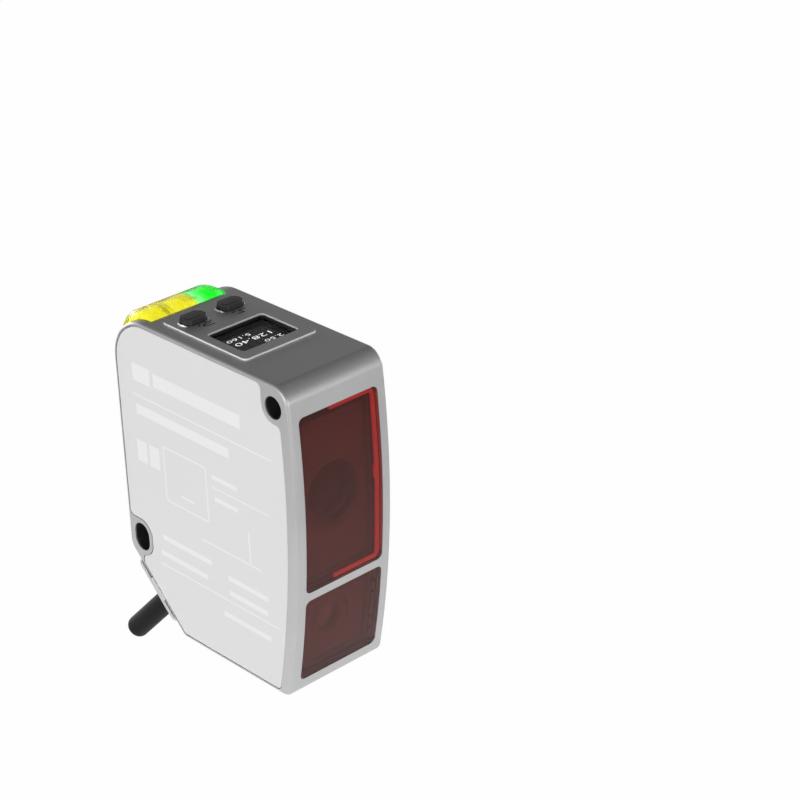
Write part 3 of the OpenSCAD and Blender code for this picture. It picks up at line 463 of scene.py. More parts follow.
def label_film():
    """Satin film: a yellow field with a black frame and bars over a black one with yellow bars."""
    colours, s = settings("print"), Shader("label_film")
    y, z = s.place()[1:]
    soft = 0.08
    line = colours.line / MM
    low = s.clamp(0.5 - (z - colours.border / MM) / soft)
    middle, wide, tall, radius = (25.75, 39.5), 45.1, 26.0, 4.0
    box = s.field(y, z, middle, (wide, tall), radius, soft) - s.field(
        y, z, middle, (wide - 2 * line, tall - 2 * line), radius - line, soft)
    rows = ((47.6, 26, 1.5), (43.9, 34, 1.5), (38.2, 33, 1.5), (34.6, 26, 1.5), (31.0, 34, 1.5))
    bars = [s.field(y, z, (middle[0], row), size, 0.25, soft) for row, *size in rows]
    rule = s.field(y, z, (middle[0], 41.3), (40.5, 0.35), 0.1, soft)
    title = s.field(y, z, (23.0, 56.6), (23.0, 2.6), 0.4, soft)
    pale = s.bars(y, z, ((15.5, 18.6, 19.0, 0.9), (15.5, 16.8, 19.5, 0.3),
                         (14.5, 12.6, 14.0, 0.9), (15.0, 10.4, 16.0, 0.7)), soft)
    yellow = s.mix(s.either(box, rule, title, *bars), colours.yellow, colours.black)
    black = s.mix(pale, colours.black, times(colours.yellow, 0.7))
    fine = s.noise(0.0002)
    return s.grained(s.mix(low, yellow, black), fine, 0.42, 0.08, 0.000006, 0.4,
                     Specular_IOR_Level=0.06)


def glass(name):
    """Glass or acrylic whose roughness grows in faint clouds."""
    # colour, share of light that passes, refraction, clouds' size and detail, roughness, growth
    tone, clear, ior, size, detail, rough, haze = {
        "window_plastic": (settings("windows").tint, 0.9, 1.2, 0.004, 2.0, 0.03, 0.03),
        "display_glass": (settings("display").glass, 1.0, 1.16, 0.003, 2.0, 0.04, 0.03),
        "receiving_glass": ((0.12, 0.126, 0.132), 0.3, 1.4, 0.003, 1.0, 0.01, 0.02),
        "laser_glass": ((0.6, 0.63, 0.66), 0.2, 1.4, 0.003, 1.0, 0.01, 0.02),
    }[name]
    s = Shader(name)
    return s.finish(Base_Color=tone, Roughness=rough + s.noise(size, detail) * haze,
                    Transmission_Weight=clear, IOR=ior)


def lit(name, tone, other, rough, glow, grain, detail):
    """A finish that goes from one tone to a near one and shines by itself."""
    s = Shader(name)
    return s.finish(Base_Color=s.mix(s.noise(grain, detail), tone, other), Roughness=rough,
                    Emission_Color=tone, Emission_Strength=glow)


# Painted light: the rim glows by itself to stand for the bright red band seen behind the upper
# window
def window_rim():
    rim = settings("windows").rim
    return lit("window_rim", rim, times(rim, 0.8), 0.45, 0.42, 0.0005, 2.0)


def digit_glow():
    digits = settings("display").digits
    return lit("digit_glow", digits, times(digits, 0.9), 0.5, 1.3, 0.0003, 1.0)


# The fins' paler tint and small glow are painted highlights: the bright arcs along the guides' ribs
def light_ridge(which):
    tint = getattr(settings("lights"), which)
    return lit(f"pale_{which}_ridge", paler(tint, 0.5), tint, 0.2, 0.1, 0.0006, 3.0)


def display_face():
    """The dark face under the glass, with its fine dots."""
    s = Shader("display_face")
    x, y, _ = s.place()
    dots = s.math("FRACT", x * 6.0) * s.math("FRACT", y * 6.0)
    base = s.mix(dots, (0.003, 0.003, 0.003), (0.007, 0.007, 0.007))
    return s.finish(Base_Color=base, Roughness=0.6, Specular_IOR_Level=0.0)


def circuit_board():
    """Green lacquer over copper tracks, which run as fine steps across the board."""
    s = Shader("circuit_board")
    x, y, z = s.place()
    wave = s.math("FRACT", (y + z) * 0.9 + x * 0.9)
    track = s.clamp((abs(wave - 0.5) - 0.36) * 12) * s.clamp((s.noise(0.0006) - 0.42) * 20)
    return s.finish(Base_Color=s.mix(track, (0.012, 0.085, 0.03), (0.03, 0.19, 0.07)),
                    Roughness=0.3, Coat_Weight=0.3, Normal=s.bump(track, 0.00003))


def bench_plastic():
    """Matt grey of the optical bench, with painted shade: a soft dark disc in the bore round the
    lens, set a little below it.
    """
    s = Shader("bench_plastic")
    x, _, z = s.place()
    fine = s.noise(0.0004, 3.0, 0.6)
    radius, soft, lower = 7.2, 2.4, 1.2
    # Painted shade: a soft dark disc round the lens, moved down to where the shade lies
    bore = s.clamp((radius - s.distance(x, z - (LENS_MM - lower))) / soft)
    base = s.coats((0.33, 0.31, 0.31), (fine, (0.38, 0.36, 0.36)), (bore, (0.15, 0.15, 0.15)))
    return s.grained(base, fine, 0.55, 0.1, 0.00001, 0.6, Specular_IOR_Level=0.2)


def gland_metal():
    """Brushed plate: fine lines along the width, and painted shade that turns the walls of its
    ports black.
    """
    s = Shader("gland_metal")
    lines = s.noise(0.0004, 3.0, 0.6, stretch=(0.05, 1, 1))
    x, y, z = s.place()
    y, z = y - float(CHAMFER_MM[1]), z - float(CHAMFER_MM[2])
    along, out = abs(y + z) * math.sqrt(0.5), (y - z) * math.sqrt(0.5)
    middle, size, height = (6.62, 3.8), (6.65, 3.6), 1.28
    # Painted shade: the walls inside the ports are painted black and lose their metal
    painted_port_shade = s.field(abs(x), along, middle, size, 0.3, 0.06) * s.clamp((height - out) * 12)
    base = s.mix(painted_port_shade, s.vary(lines, settings("metal").gland, 0.94, 1.0), (0.012, 0.012, 0.012))
    return s.grained(base, lines, 0.3, 0.1, 0.000008, Metallic=0.6 - painted_port_shade * 0.6)


def jacket():
    """Matt cable jacket with a faint orange-peel skin."""
    s = Shader("cable_jacket")
    fine = s.noise(0.0004)
    return s.grained(s.vary(fine, settings("cable").colour, 0.85, 1.2), fine, 0.5, 0.1, 0.00001,
                     Specular_IOR_Level=0.07)


def key_plastic():
    s = Shader("key_plastic")
    fine = s.noise(0.00022, 4.0, 0.6)
    return s.grained(s.vary(fine, settings("keys").colour, 0.8, 1.2), fine, 0.34, 0.12, 0.00001,
                     0.6)


def light_shell(which, side):
    """Clear tinted outer layer of a light guide, with a fine ripple that breaks the light up. The
    green one carries painted highlights, mottled white, towards its yellow neighbour."""
    s = Shader(f"clear_{which}_shell_{side}")
    tint = getattr(settings("lights"), which)
    ripple = s.noise(0.0011, 3.0, 0.55)
    base = s.mix(ripple, paler(tint, 0.3), paler(tint, 0.1))
    if side == "green":
        across = s.along()[1]
        # Painted highlight: white mottling towards the yellow neighbour
        white_glint_mottle = s.clamp((0.42 - across) * 5) * s.clamp((s.noise(0.0010, 3.0, 0.55) - 0.42) * 7)
        base = s.mix(white_glint_mottle, base, (0.75, 0.95, 0.77))
    return s.grained(base, ripple, 0.05, 0.12, 0.00006, Transmission_Weight=0.95, IOR=1.15,
                     Emission_Color=tint, Emission_Strength=0.09)


def light_core(which, side):
    """Coloured body of a light guide, along it (u) from its front edge to its foot and across it
    (v): two dark cells, lines that spread from them to the foot, a band at one side, and a dark
    foot with pale ticks under a bright line. The bright line is a painted highlight and the dark
    foot painted shade; the pale band of the inner and green guides, bright flecks and white
    mottling towards the front are painted highlights too."""
    s = Shader(f"glowing_{which}_core_{side}")
    lights = settings("lights")
    tint = getattr(lights, which)
    low = [c * k for c, k in zip(tint, (0.5, 0.38, 0.45))]
    dark = times(tint, 0.1)
    pale = paler(tint, 0.85 if side == "green" else 0.5)
    u, v = s.along()
    back = s.clamp((u - 0.42) * 5)
    upper = s.field(u, v, (0.37, 0.57), (0.26, 0.28), 0.0, 0.01) * s.clamp((u - 0.2) * 4.5)
    lower = s.field(u, v, (0.633, 0.575), (0.186, 0.25), 0.0, 0.01)
    skirt = s.field(u, v, (0.815, 0.5), (0.18, 1.0), 0.0, 0.01)
    below = u - 0.726
    near, far = 0.45 - below * 1.75, 0.70 + below * 0.7
    rays = s.either(*[s.clamp(1 - abs(v - edge) * 34) for edge in (near, far)]) * skirt
    wedge = s.clamp((v - near) * 20) * s.clamp((far - v) * 20) * skirt
    # The band is a painted highlight where it is pale, on the inner and green guides, and dark on
    # the outer guide
    band = s.clamp((v - 0.75) * 30) * s.clamp((0.95 - v) * 30) * s.clamp((0.88 - u) * 30)
    # Painted shade: the foot is darkened
    foot = s.clamp((u - 0.925) * 120)
    ticks = s.either(*[s.clamp(1.2 - abs(v - at) * 45) for at in (0.03, 0.30, 0.76, 0.97)])
    # Painted highlight: a bright line just above the foot
    line = s.clamp(1.4 - abs(u - 0.908) * 90)
    sparkle = s.noise(0.0010, 3.0, 0.55)
    streak = s.noise(0.0016, 2.0, stretch=(0.5, 1, 1))
    calm = s.field(u, v, (0.42, 0.56), (0.66, 0.36), 0.05, 0.05)
    # Painted highlights: bright flecks, fewer in the calm middle and towards the rear
    glint_flecks = s.clamp((sparkle - 0.54) * 9) * (0.85 - calm * 0.75)
    # Painted highlight: white mottling on the side towards v = 0, strongest on the green guide
    white_glint_mottle = s.clamp((0.5 - v) * 4) * s.clamp((0.64 - sparkle) * 5) * (1 - back * 0.6)
    body = s.coats(
        tint,
        (back, low),
        (glint_flecks * (1 - back * 0.8), paler(times(tint, 1.15), 0.3)),
        (s.clamp((0.44 - streak) * 6) * (0.45 - calm * 0.4), times(tint, 0.55)),
        (white_glint_mottle * {"outer": 0.05, "inner": 0.35, "green": 0.95}[side], pale),
        (band * (0.6 if side == "outer" else 0.35), dark if side == "outer" else pale),
        (wedge * 0.5, times(tint, 1.25)),
        (s.either(upper, lower) * 0.92, dark),
        (rays * 0.55, times(tint, 0.4)),
        (foot * (1 - ticks) * 0.7, dark),
        (line, pale))
    return s.finish(Base_Color=body, Roughness=0.3, Emission_Color=body,
                    Emission_Strength=lights.glow, Normal=s.bump(sparkle, 0.0001))


# Meshes


def add(name, data):
    """Puts a mesh, a lamp or the camera into the scene."""
    piece = bpy.data.objects.new(name, data)
    bpy.context.scene.collection.objects.link(piece)
    return piece


def read_points(mesh):
    points = np.zeros(len(mesh.vertices) * 3)
    mesh.vertices.foreach_get("co", points)
    return points.reshape(-1, 3)


def read_loops(mesh):
    """Which point stands at each corner of each face."""
    loops = np.zeros(len(mesh.loops), int)
    mesh.loops.foreach_get("vertex_index", loops)
    return loops


def build(name, points, faces, smooth_angle=40.0):
    """A piece from points in millimetres of the drawing, and the faces between them."""
    mesh = bpy.data.meshes.new(name)
    points = (np.asarray(points, float).reshape(-1, 3) + DRAWING) * MM
    mesh.from_pydata(points.tolist(), [], [list(f) for f in faces])
    weld(mesh)
    smooth(mesh, smooth_angle)
    return add(name, mesh)


def weld(mesh):
    """Merges points that coincide and turns the faces of a closed mesh outwards."""
    work = bmesh.new()
    work.from_mesh(mesh)
    bmesh.ops.remove_doubles(work, verts=work.verts, dist=WELD)
    bmesh.ops.dissolve_degenerate(work, edges=work.edges, dist=WELD)
    bmesh.ops.recalc_face_normals(work, faces=work.faces)
    work.to_mesh(mesh)
    work.free()
    mesh.update()


def smooth(mesh, angle):
    mesh.polygons.foreach_set("use_smooth", [True] * len(mesh.polygons))
    mesh.set_sharp_from_angle(angle=math.radians(angle))


def grid_faces(rows, columns, close_rows=False, close_columns=False):
    """Quads of a grid of points that is stored row by row."""
    r = np.arange(rows if close_rows else rows - 1)
    c = np.arange(columns if close_columns else columns - 1)
    r, c = np.meshgrid(r, c, indexing="ij")
    r2, c2 = (r + 1) % rows, (c + 1) % columns
    quads = np.stack([r * columns + c, r * columns + c2, r2 * columns + c2, r2 * columns + c], -1)
    return quads.reshape(-1, 4)


def tube_faces(rings, sides):
    """Quads between rings of points that follow each other, and a flat face at each end."""
    count = rings * sides
    ends = [list(range(sides - 1, -1, -1)), list(range(count - sides, count))]
    return grid_faces(rings, sides, close_columns=True).tolist() + ends


def bar_faces(count):
    """Faces of a bar, whose four long edges of count points follow each other."""
    ends = [[edge * count for edge in range(4)], [(edge + 1) * count - 1 for edge in (0, 3, 2, 1)]]
    return grid_faces(4, count, close_rows=True).tolist() + ends


def join(parts):
    """Points and faces of several (points, faces) pairs as one."""
    points, faces, count = [], [], 0
    for p, f in parts:
        points.append(np.asarray(p, float).reshape(-1, 3))
        faces += (np.asarray(f) + count).tolist()
        count += len(points[-1])
    return np.concatenate(points), faces


def round_steps(count):
    """Angles round a circle, in the middle of as many equal steps."""
    return (np.arange(count) + 0.5) * 2 * np.pi / count


def rounded_outline(half, radius, turn):
    """Points of a rectangle with round corners at angles turn: a circle that the signs of the
    cosine and the sine move out to the four corners."""
    circle = np.stack([np.cos(turn), np.sin(turn)], -1)
    return np.sign(circle) * (half - radius) + radius * circle


def lathe(name, start, profile, sides, smooth_angle=40.0):
    """A circle carried along the cable's way through a profile of (distance, radius) pairs."""
    turn = np.linspace(0, 2 * np.pi, sides, endpoint=False)
    circle = np.outer(np.cos(turn), ACROSS) + np.outer(np.sin(turn), UPWARD)
    rings = [start + OUTWARD * distance + circle * radius for distance, radius in profile]
    return build(name, rings, grid_faces(len(profile), sides, close_columns=True), smooth_angle)


def break_edges(piece, width, segments, limit, weight=50):
    """Broken edges that leave the flat faces evenly lit."""
    bevel = piece.modifiers.new("broken_edges", "BEVEL")
    bevel.width, bevel.segments, bevel.limit_method = width, segments, limit
    bevel.angle_limit = math.radians(25)
    normals = piece.modifiers.new("even_normals", "WEIGHTED_NORMAL")
    normals.keep_sharp, normals.weight = True, weight


def skin(node, name, finish, edge, angle=32.0):
    """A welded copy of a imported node, smooth but for its real edges. The outward ones are broken,
    those of the display's panel by the whole width and the others by a share of it."""
    share = 0.6
    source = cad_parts[node].data
    points = read_points(source)
    _, first, back = np.unique(np.round(points / WELD).astype(np.int64), axis=0,
                               return_index=True, return_inverse=True)
    triangles = back.reshape(-1)[read_loops(source)].reshape(-1, 3)
    a, b, c = triangles.T
    triangles = triangles[(a != b) & (b != c) & (a != c)]
    mesh = bpy.data.meshes.new(name)
    mesh.from_pydata(points[first].tolist(), [], triangles.tolist())
    work = bmesh.new()
    work.from_mesh(mesh)
    flat = math.radians(0.15)
    bmesh.ops.dissolve_limit(work, angle_limit=flat, verts=work.verts, edges=work.edges)
    layer = work.edges.layers.float.new("bevel_weight_edge")
    for e in work.edges:
        if e.is_manifold and e.calc_face_angle_signed() > math.radians(angle):
            lowest = min(v.co.z for v in e.verts) / MM - DRAWING[2]
            e[layer] = 1.0 if lowest > TOP_MM + 0.05 else share
    work.to_mesh(mesh)
    work.free()
    smooth(mesh, angle)
    piece = add(name, mesh)
    break_edges(piece, edge, 2, "WEIGHT", 80)
    return settle(piece, finish, node)


def settle(piece, finish, node=None, body=BODY):
    """Gives a piece its material and the body that it rides on, and hides the node that it stands
    for."""
    piece.data.materials.clear()
    piece.data.materials.append(finish)
    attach(piece, body)
    if node:
        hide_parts(node)
    return piece


def paint(finish, *nodes):
    """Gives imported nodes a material, or the one of that name."""
    if isinstance(finish, str):
        finish = material(finish_of, finish)
    for node in nodes:
        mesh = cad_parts[node].data
        mesh.materials.clear()
        mesh.materials.append(finish)


# Operators


class Maker:
    """What all the makers share"""
    bl_options = {"REGISTER", "UNDO"}


class SENSOR_OT_housing(Maker, Operator):
    """Cast housing and the pale plate in its side"""
    bl_idname = "sensor.housing"
    bl_label = "Housing and cover"

    def execute(self, context):
        edge = settings("metal").edge
        skin("housing", "cast_housing", material(cast_metal), edge)
        skin("side_cover", "cover_plate", material(cover_paint), edge * 0.8)
        paint("black_rubber", "cover_gasket")
        return {"FINISHED"}


class SENSOR_OT_label(Maker, Operator):
    """Film on the side, with its colour fields and frame"""
    bl_idname = "sensor.label"
    bl_label = "Label"

    def execute(self, context):
        paint(material(label_film), "side_label")
        return {"FINISHED"}


class SENSOR_OT_windows(Maker, Operator):
    """Red windows in the front, and the rim behind the upper one, which glows by itself as painted
    light
    """
    bl_idname = "sensor.windows"
    bl_label = "Front windows"

    def execute(self, context):
        for node, name in (("receiver_window", "upper_window"), ("emitter_window", "lower_window")):
            skin(node, name, material(glass, "window_plastic"), 0.00008, 25.0)
        paint("grey_rubber", "receiver_gasket", "emitter_gasket")
        self.rim()
        return {"FINISHED"}

    def rim(self):
        """A bracket behind the window, open to the left: an outline with round corners and a
        notch, and the same moved in by the rim's width, both set back from the front's curve."""
        low, high = node_box("receiver_window")
        radius, margin, notch_step = 1.2, 0.35, 0.3
        right, bottom, top = high[0] - 0.3, low[2] + margin, high[2] - margin
        middle = (bottom + top) / 2 + 1.5
        front, back = 0.7, 1.3
        quarter = np.linspace(0, np.pi / 2, 9)
        sine, cosine = np.sin(quarter), np.cos(quarter)

        def outline(inset):
            r = max(radius - inset, 0.1)
            x, foot, head = right - inset, bottom + inset, top - inset * 0.75
            step = notch_step if inset else 0.0
            lower = np.stack([x - r + r * sine, foot + r - r * cosine], -1)
            upper = np.stack([x - r + r * cosine, head - r + r * sine], -1)
            notch = [(x, middle - 2.2), (x - step, middle - 1.8), (x - step, middle + 0.6),
                     (x, middle + 1.0)]
            return np.concatenate([[(-2.0, foot)], lower, notch, upper, [(-1.7, head)]])

        outer, inner = outline(0.0), outline(settings("windows").rim_width / MM)
        rows = [np.column_stack([flat[:, 0], front_line(flat[:, 1]) + depth, flat[:, 1]])
                for flat, depth in ((outer, front), (inner, front), (inner, back), (outer, back))]
        piece = build("upper_window_rim", rows, bar_faces(len(outer)))
        settle(piece, material(window_rim))


def front_line(z):
    """Depth of the front's curve at height z: a circle that touches the foremost line."""
    return FRONT_MM - np.sqrt(FRONT_MM**2 - (z - PEAK_MM)**2)


class SENSOR_OT_display(Maker, Operator):
    """Display glass, the lit face under it and its digits"""
    bl_idname = "sensor.display"
    bl_label = "Display"

    def execute(self, context):
        skin("display_glass", "display_pane", material(glass, "display_glass"), 0.0001)
        paint("black_rubber", "display_gasket")
        paint(material(display_face), "display_module")
        shown = settings("display")
        half = (GLASS_HIGH - GLASS_LOW)[:2] / 2
        middle = (GLASS_HIGH + GLASS_LOW)[:2] / 2
        height = GLASS_LOW[2] - 0.02
        settle(self.face(middle, half - 0.9, height), material(display_face))
        # text, height of a digit, place from the middle, and the share of the row left of it
        rows = ((shown.small, 0.95, (4.9, -2.5), 0.0), (shown.large, 1.25, (-0.1, -0.1), 0.5),
                (shown.last, 0.95, (-4.5, 1.95), 1.0))
        for i, (text, size, offset, align) in enumerate(rows):
            piece = self.digits(f"digits_{i}", text, size, middle + offset, align, height + 0.03)
            settle(piece, material(digit_glow))
        return {"FINISHED"}

    def face(self, middle, half, height, count=64):
        """A thin sheet under the glass: a rounded rectangle with a small thickness."""
        radius, thick = 0.6, 0.25
        flat = rounded_outline(half, radius, round_steps(count)) + middle
        rings = [np.column_stack([flat, np.full(count, z)]) for z in (height, height - thick)]
        return build("display_face", rings, tube_faces(2, count))

    def digits(self, name, text, size, place, align, height):
        """Flat digits that are read from the rear: a text's outline, stretched to its height and
        its width, with a small thickness."""
        wide, thick, thinner = 1.8, 0.5, -0.012
        curve = bpy.data.curves.new(name, "FONT")
        curve.body, curve.size, curve.resolution_u = text, 1.0, 4
        curve.extrude, curve.offset = 0.01, thinner
        holder = add(name, curve)
        bpy.context.view_layer.update()
        mesh = bpy.data.meshes.new_from_object(
            holder.evaluated_get(bpy.context.evaluated_depsgraph_get()))
        bpy.data.objects.remove(holder)
        bpy.data.curves.remove(curve)
        points = read_points(mesh)
        low, high = points.min(0), points.max(0)
        scale = size / (high[1] - low[1])
        u = (points[:, 0] - low[0] - (high[0] - low[0]) * align) * scale * wide
        v = (points[:, 1] - (high[1] + low[1]) / 2) * scale
        points = np.column_stack([place[0] - u, place[1] - v, height + points[:, 2] * thick])
        mesh.vertices.foreach_set("co", ((points + DRAWING) * MM).ravel())
        weld(mesh)
        return add(name, mesh)


class SENSOR_OT_keys(Maker, Operator):
    """The two keys, the rims of their holes, the marks beside them and what lies under them"""
    bl_idname = "sensor.keys"
    bl_label = "Keys"

    # Middle of the mark beside each key, from the key's, and the mark's strokes from its middle
    MARKS = {
        "cover": ((0.9, -2.95), (
            ((1.5, 0.6), (0.1, 0.6)),
            ((0.8, 0.0), (-0.6, 0.1), (-1.0, -0.4), (-0.4, -0.8), (1.1, -0.8)),
            ((-1.3, 0.7), (-1.6, 0.2)))),
        "label": ((0.1, -3.2), (
            ((1.3, 0.6), (-0.2, 0.5), (0.2, -0.6), (-1.2, -0.5)),
            ((-1.6, 0.5), (-0.9, 0.8)))),
    }

    def execute(self, context):
        for side, (offset, lines) in self.MARKS.items():
            node = f"{side}_side_key"
            low, high = node_box(node)
            middle = (low + high)[:2] / 2
            settle(self.cap(f"{side}_side_cap", middle, low[2], high[2]), material(key_plastic),
                   node, body=f"{side}_side_button")
            settle(self.rim(node + "_rim", middle), material(bare_metal))
            settle(self.mark(node + "_mark", middle + offset, lines),
                   material(finish_of, "engraved_mark"))
            paint("white_plastic", f"{side}_side_plunger")
        paint("black_rubber", "key_seals")
        paint("black_plastic", "key_switches")
        paint("steel", "top_board_screws")
        paint(material(circuit_board), "top_board")
        return {"FINISHED"}

    def cap(self, name, middle, bottom, top):
        """An octagon carried up a profile: flange, walls, flat top and a low pad on it. Each ring
        is where four sides and four slanting corners meet, all of them moved in by the inset."""
        keys = settings("keys")
        half, wide = keys.length / MM / 2 - 0.08, keys.width / MM / 2 - 0.02
        flange, over, end, low, slope = 0.5, 0.6, 1.4, 0.06, 0.1
        lean = np.array([0.75, 0.66])
        reach = lean @ (half - 0.1, 0.78)
        pad = keys.pad / MM
        profile = [(end, bottom), (-over, bottom), (-over, bottom + flange), (0.0, bottom + flange),
                   (0.0, top - low), (pad, top - low), (pad + slope, top), (end, top)]
        inset, height = np.array(profile).T
        x, y, c = half - inset, wide - inset, reach - inset
        y1, x1 = (c - lean[0] * x) / lean[1], (c - lean[1] * y) / lean[0]
        corners = np.stack([np.stack(p, -1) for p in (
            (x, -y1, height), (x, y1, height), (x1, y, height), (-x1, y, height),
            (-x, y1, height), (-x, -y1, height), (-x1, -y, height), (x1, -y, height))], 1)
        piece = build(name, corners + [*middle, 0], tube_faces(len(profile), 8), 25.0)
        break_edges(piece, keys.shoulder, 3, "ANGLE")
        return piece

    def rim(self, name, middle, turns=96):
        """Two low crescents at the ends of a key's hole: a stadium ring whose height rises with the
        cosine of the angle from the key's length. They stand for where the hole's edge catches the
        light, and their near-white finish is a painted highlight."""
        keys = settings("keys")
        half = np.array([keys.length / MM + 0.3, keys.width / MM + 0.3]) / 2
        low, foot, crest = PANEL_TOP_MM - 0.3, 0.28, 0.3
        turn = round_steps(turns)
        rise = np.clip((np.abs(np.cos(turn)) - 0.7) / 0.25, 0, 1) * crest
        # inset, height over the ring's underside, and whether the crescents rise there
        profile = ((-0.26, 0, 0), (-0.26, foot, 0), (-0.16, foot, 1), (-0.08, foot, 1),
                   (0, foot, 0), (0, 0, 0))
        rings = [np.column_stack([rounded_outline(half - inset, half[1] - inset, turn),
                                  low + height + rise * rises]) for inset, height, rises in profile]
        return build(name, np.array(rings) + [*middle, 0],
                     grid_faces(len(profile), turns, close_rows=True, close_columns=True))

    def mark(self, name, middle, lines):
        """A small engraved mark on the display's side of a key, made of strokes."""
        ends = [pair for line in lines for pair in zip(line, line[1:])]
        points, faces = join([self.stroke(middle + start, middle + end) for start, end in ends])
        return build(name, points, faces)

    def stroke(self, start, end, width=0.32, deep=0.05, proud=0.012):
        """A flat bar between two points, let into the panel."""
        along = (end - start) / np.linalg.norm(end - start) * width / 2
        across = np.array([-along[1], along[0]])
        start, end = start - along, end + along
        ring = np.array([start - across, end - across, end + across, start + across])
        points = [np.column_stack([ring, np.full(4, PANEL_TOP_MM + h)]) for h in (-deep, proud)]
        return points, tube_faces(2, 4)


def arch_at(x, end):
    """How far the centre of the lights' arc lies in from the rear and the top, and its radius.
    At an end of the row both go over to the housing's own corner, as a quarter circle falls."""
    lights = settings("lights")
    ends, arch = lights.ends / MM, lights.arch / MM
    gap = {-1: x - GUIDES_LEFT_MM, 0: np.full_like(x, ends), 1: GUIDES_RIGHT_MM - x}[end]
    share = np.sqrt(1 - (1 - np.clip(gap / ends, 0, 1))**2)
    return (CORNER_MM - share * (CORNER_MM - arch + lights.proud / MM),
            CORNER_MM - share * (CORNER_MM - arch))


def arc_ends(y, z, radius):
    """Angles of a circle about (y, z) at the front and the lower edge of the lights' opening."""
    return (np.arcsin((GUIDES_START_MM[0] - y) / radius),
            np.arccos((GUIDES_START_MM[1] - z) / radius))


def arc(u, x, end, inset):
    """The lights' side view at x: a circle, less the inset, between the front and the lower edge
    of their opening. u runs from 0 to 1 along it."""
    back, radius = arch_at(x, end)
    y, z, radius = DEPTH_MM - back, TOP_MM - back, radius - inset
    first, last = arc_ends(y, z, radius)
    turn = first + u * (last - first)
    return y + radius * np.sin(turn), z + radius * np.cos(turn)


class SENSOR_OT_status_lights(Maker, Operator):
    """Light guides round the upper rear corner, and the lamps behind them"""
    bl_idname = "sensor.status_lights"
    bl_label = "Status lights"

    # Node, colour, side, the end of the row that it stands at, and the shares of its width at
    # which it has ridges
    GUIDES = (("outer_yellow", "yellow", "outer", -1, (0.73, 0.955)),
              ("inner_yellow", "yellow", "inner", 0, (0.04, 0.74, 0.86, 0.96)),
              ("green", "green", "green", 1, (0.04, 0.74, 0.80, 0.88)))

    def execute(self, context):
        shell = settings("lights").shell / MM
        side_gap, gap, reach = 0.06, 0.08, 1.58
        for short, which, side, end, shares in self.GUIDES:
            node = short + "_light_guide"
            left, right = (corner[0] for corner in node_box(node))
            settle(self.layer(short + "_shell", left, right, end, 0.0, shell),
                   material(light_shell, which, side), node)
            settle(self.layer(short + "_core", left + side_gap, right - side_gap, end,
                              shell + gap, reach),
                   material(light_core, which, side))
            settle(self.ridges(short + "_ridges", left + (right - left) * np.array(shares), end,
                               shell), material(light_ridge, which))
        paint("white_plastic", "light_frame", "status_leds")
        paint(material(circuit_board), "light_board")
        return {"FINISHED"}

    def layer(self, name, left, right, end, top, bottom, turns=56, columns=21):
        """A closed layer between two insets of the lights' arc, for x from left to right."""
        across = left + (right - left) * (1 - np.cos(np.linspace(0, np.pi, columns))) / 2
        u, x = np.meshgrid(np.linspace(0, 1, turns), across, indexing="ij")
        sheets = [np.stack([x, *arc(u, x, end, inset)], -1) for inset in (top, bottom)]
        count = turns * columns
        faces = grid_faces(turns, columns)
        edge = np.concatenate([np.arange(columns), np.arange(1, turns) * columns + columns - 1,
                               count - 1 - np.arange(1, columns),
                               np.arange(turns - 2, 0, -1) * columns])
        following = np.roll(edge, -1)
        wall = np.stack([edge, edge + count, following + count, following], -1)
        piece = build(name, sheets, [*faces, *(faces[:, ::-1] + count), *wall], 35.0)
        self.unwrap(piece.data, left, right, end)
        return piece

    def unwrap(self, mesh, left, right, end):
        """Stores the place along and across the guide as a UV map: arc() solved for u."""
        x, y, z = (read_points(mesh) / MM - DRAWING).T
        back = arch_at(x, end)[0]
        y0, z0 = DEPTH_MM - back, TOP_MM - back
        first, last = arc_ends(y0, z0, np.hypot(y - y0, z - z0))
        u = (np.arctan2(y - y0, z - z0) - first) / (last - first)
        v = (x - left) / (right - left)
        uv = mesh.uv_layers.new(name="along")
        uv.data.foreach_set("uv", np.stack([u, v], -1)[read_loops(mesh)].ravel())

    def ridges(self, name, places, end, shell, count=48, half=0.07):
        """Thin fins that follow the arc in the shell and stand in the core: the four long edges
        of each are the arc at two insets, to the left and to the right of its place."""
        u = np.linspace(0.10, 0.89, count)
        high, low = shell * 0.35, shell + 0.12
        fins = []
        for x in places:
            edges = [np.column_stack([np.full(count, x + side),
                                      *arc(u, np.full(count, x), end, inset)])
                     for side, inset in ((-half, high), (half, high), (half, low), (-half, low))]
            fins.append((edges, bar_faces(count)))
        return build(name, *join(fins))


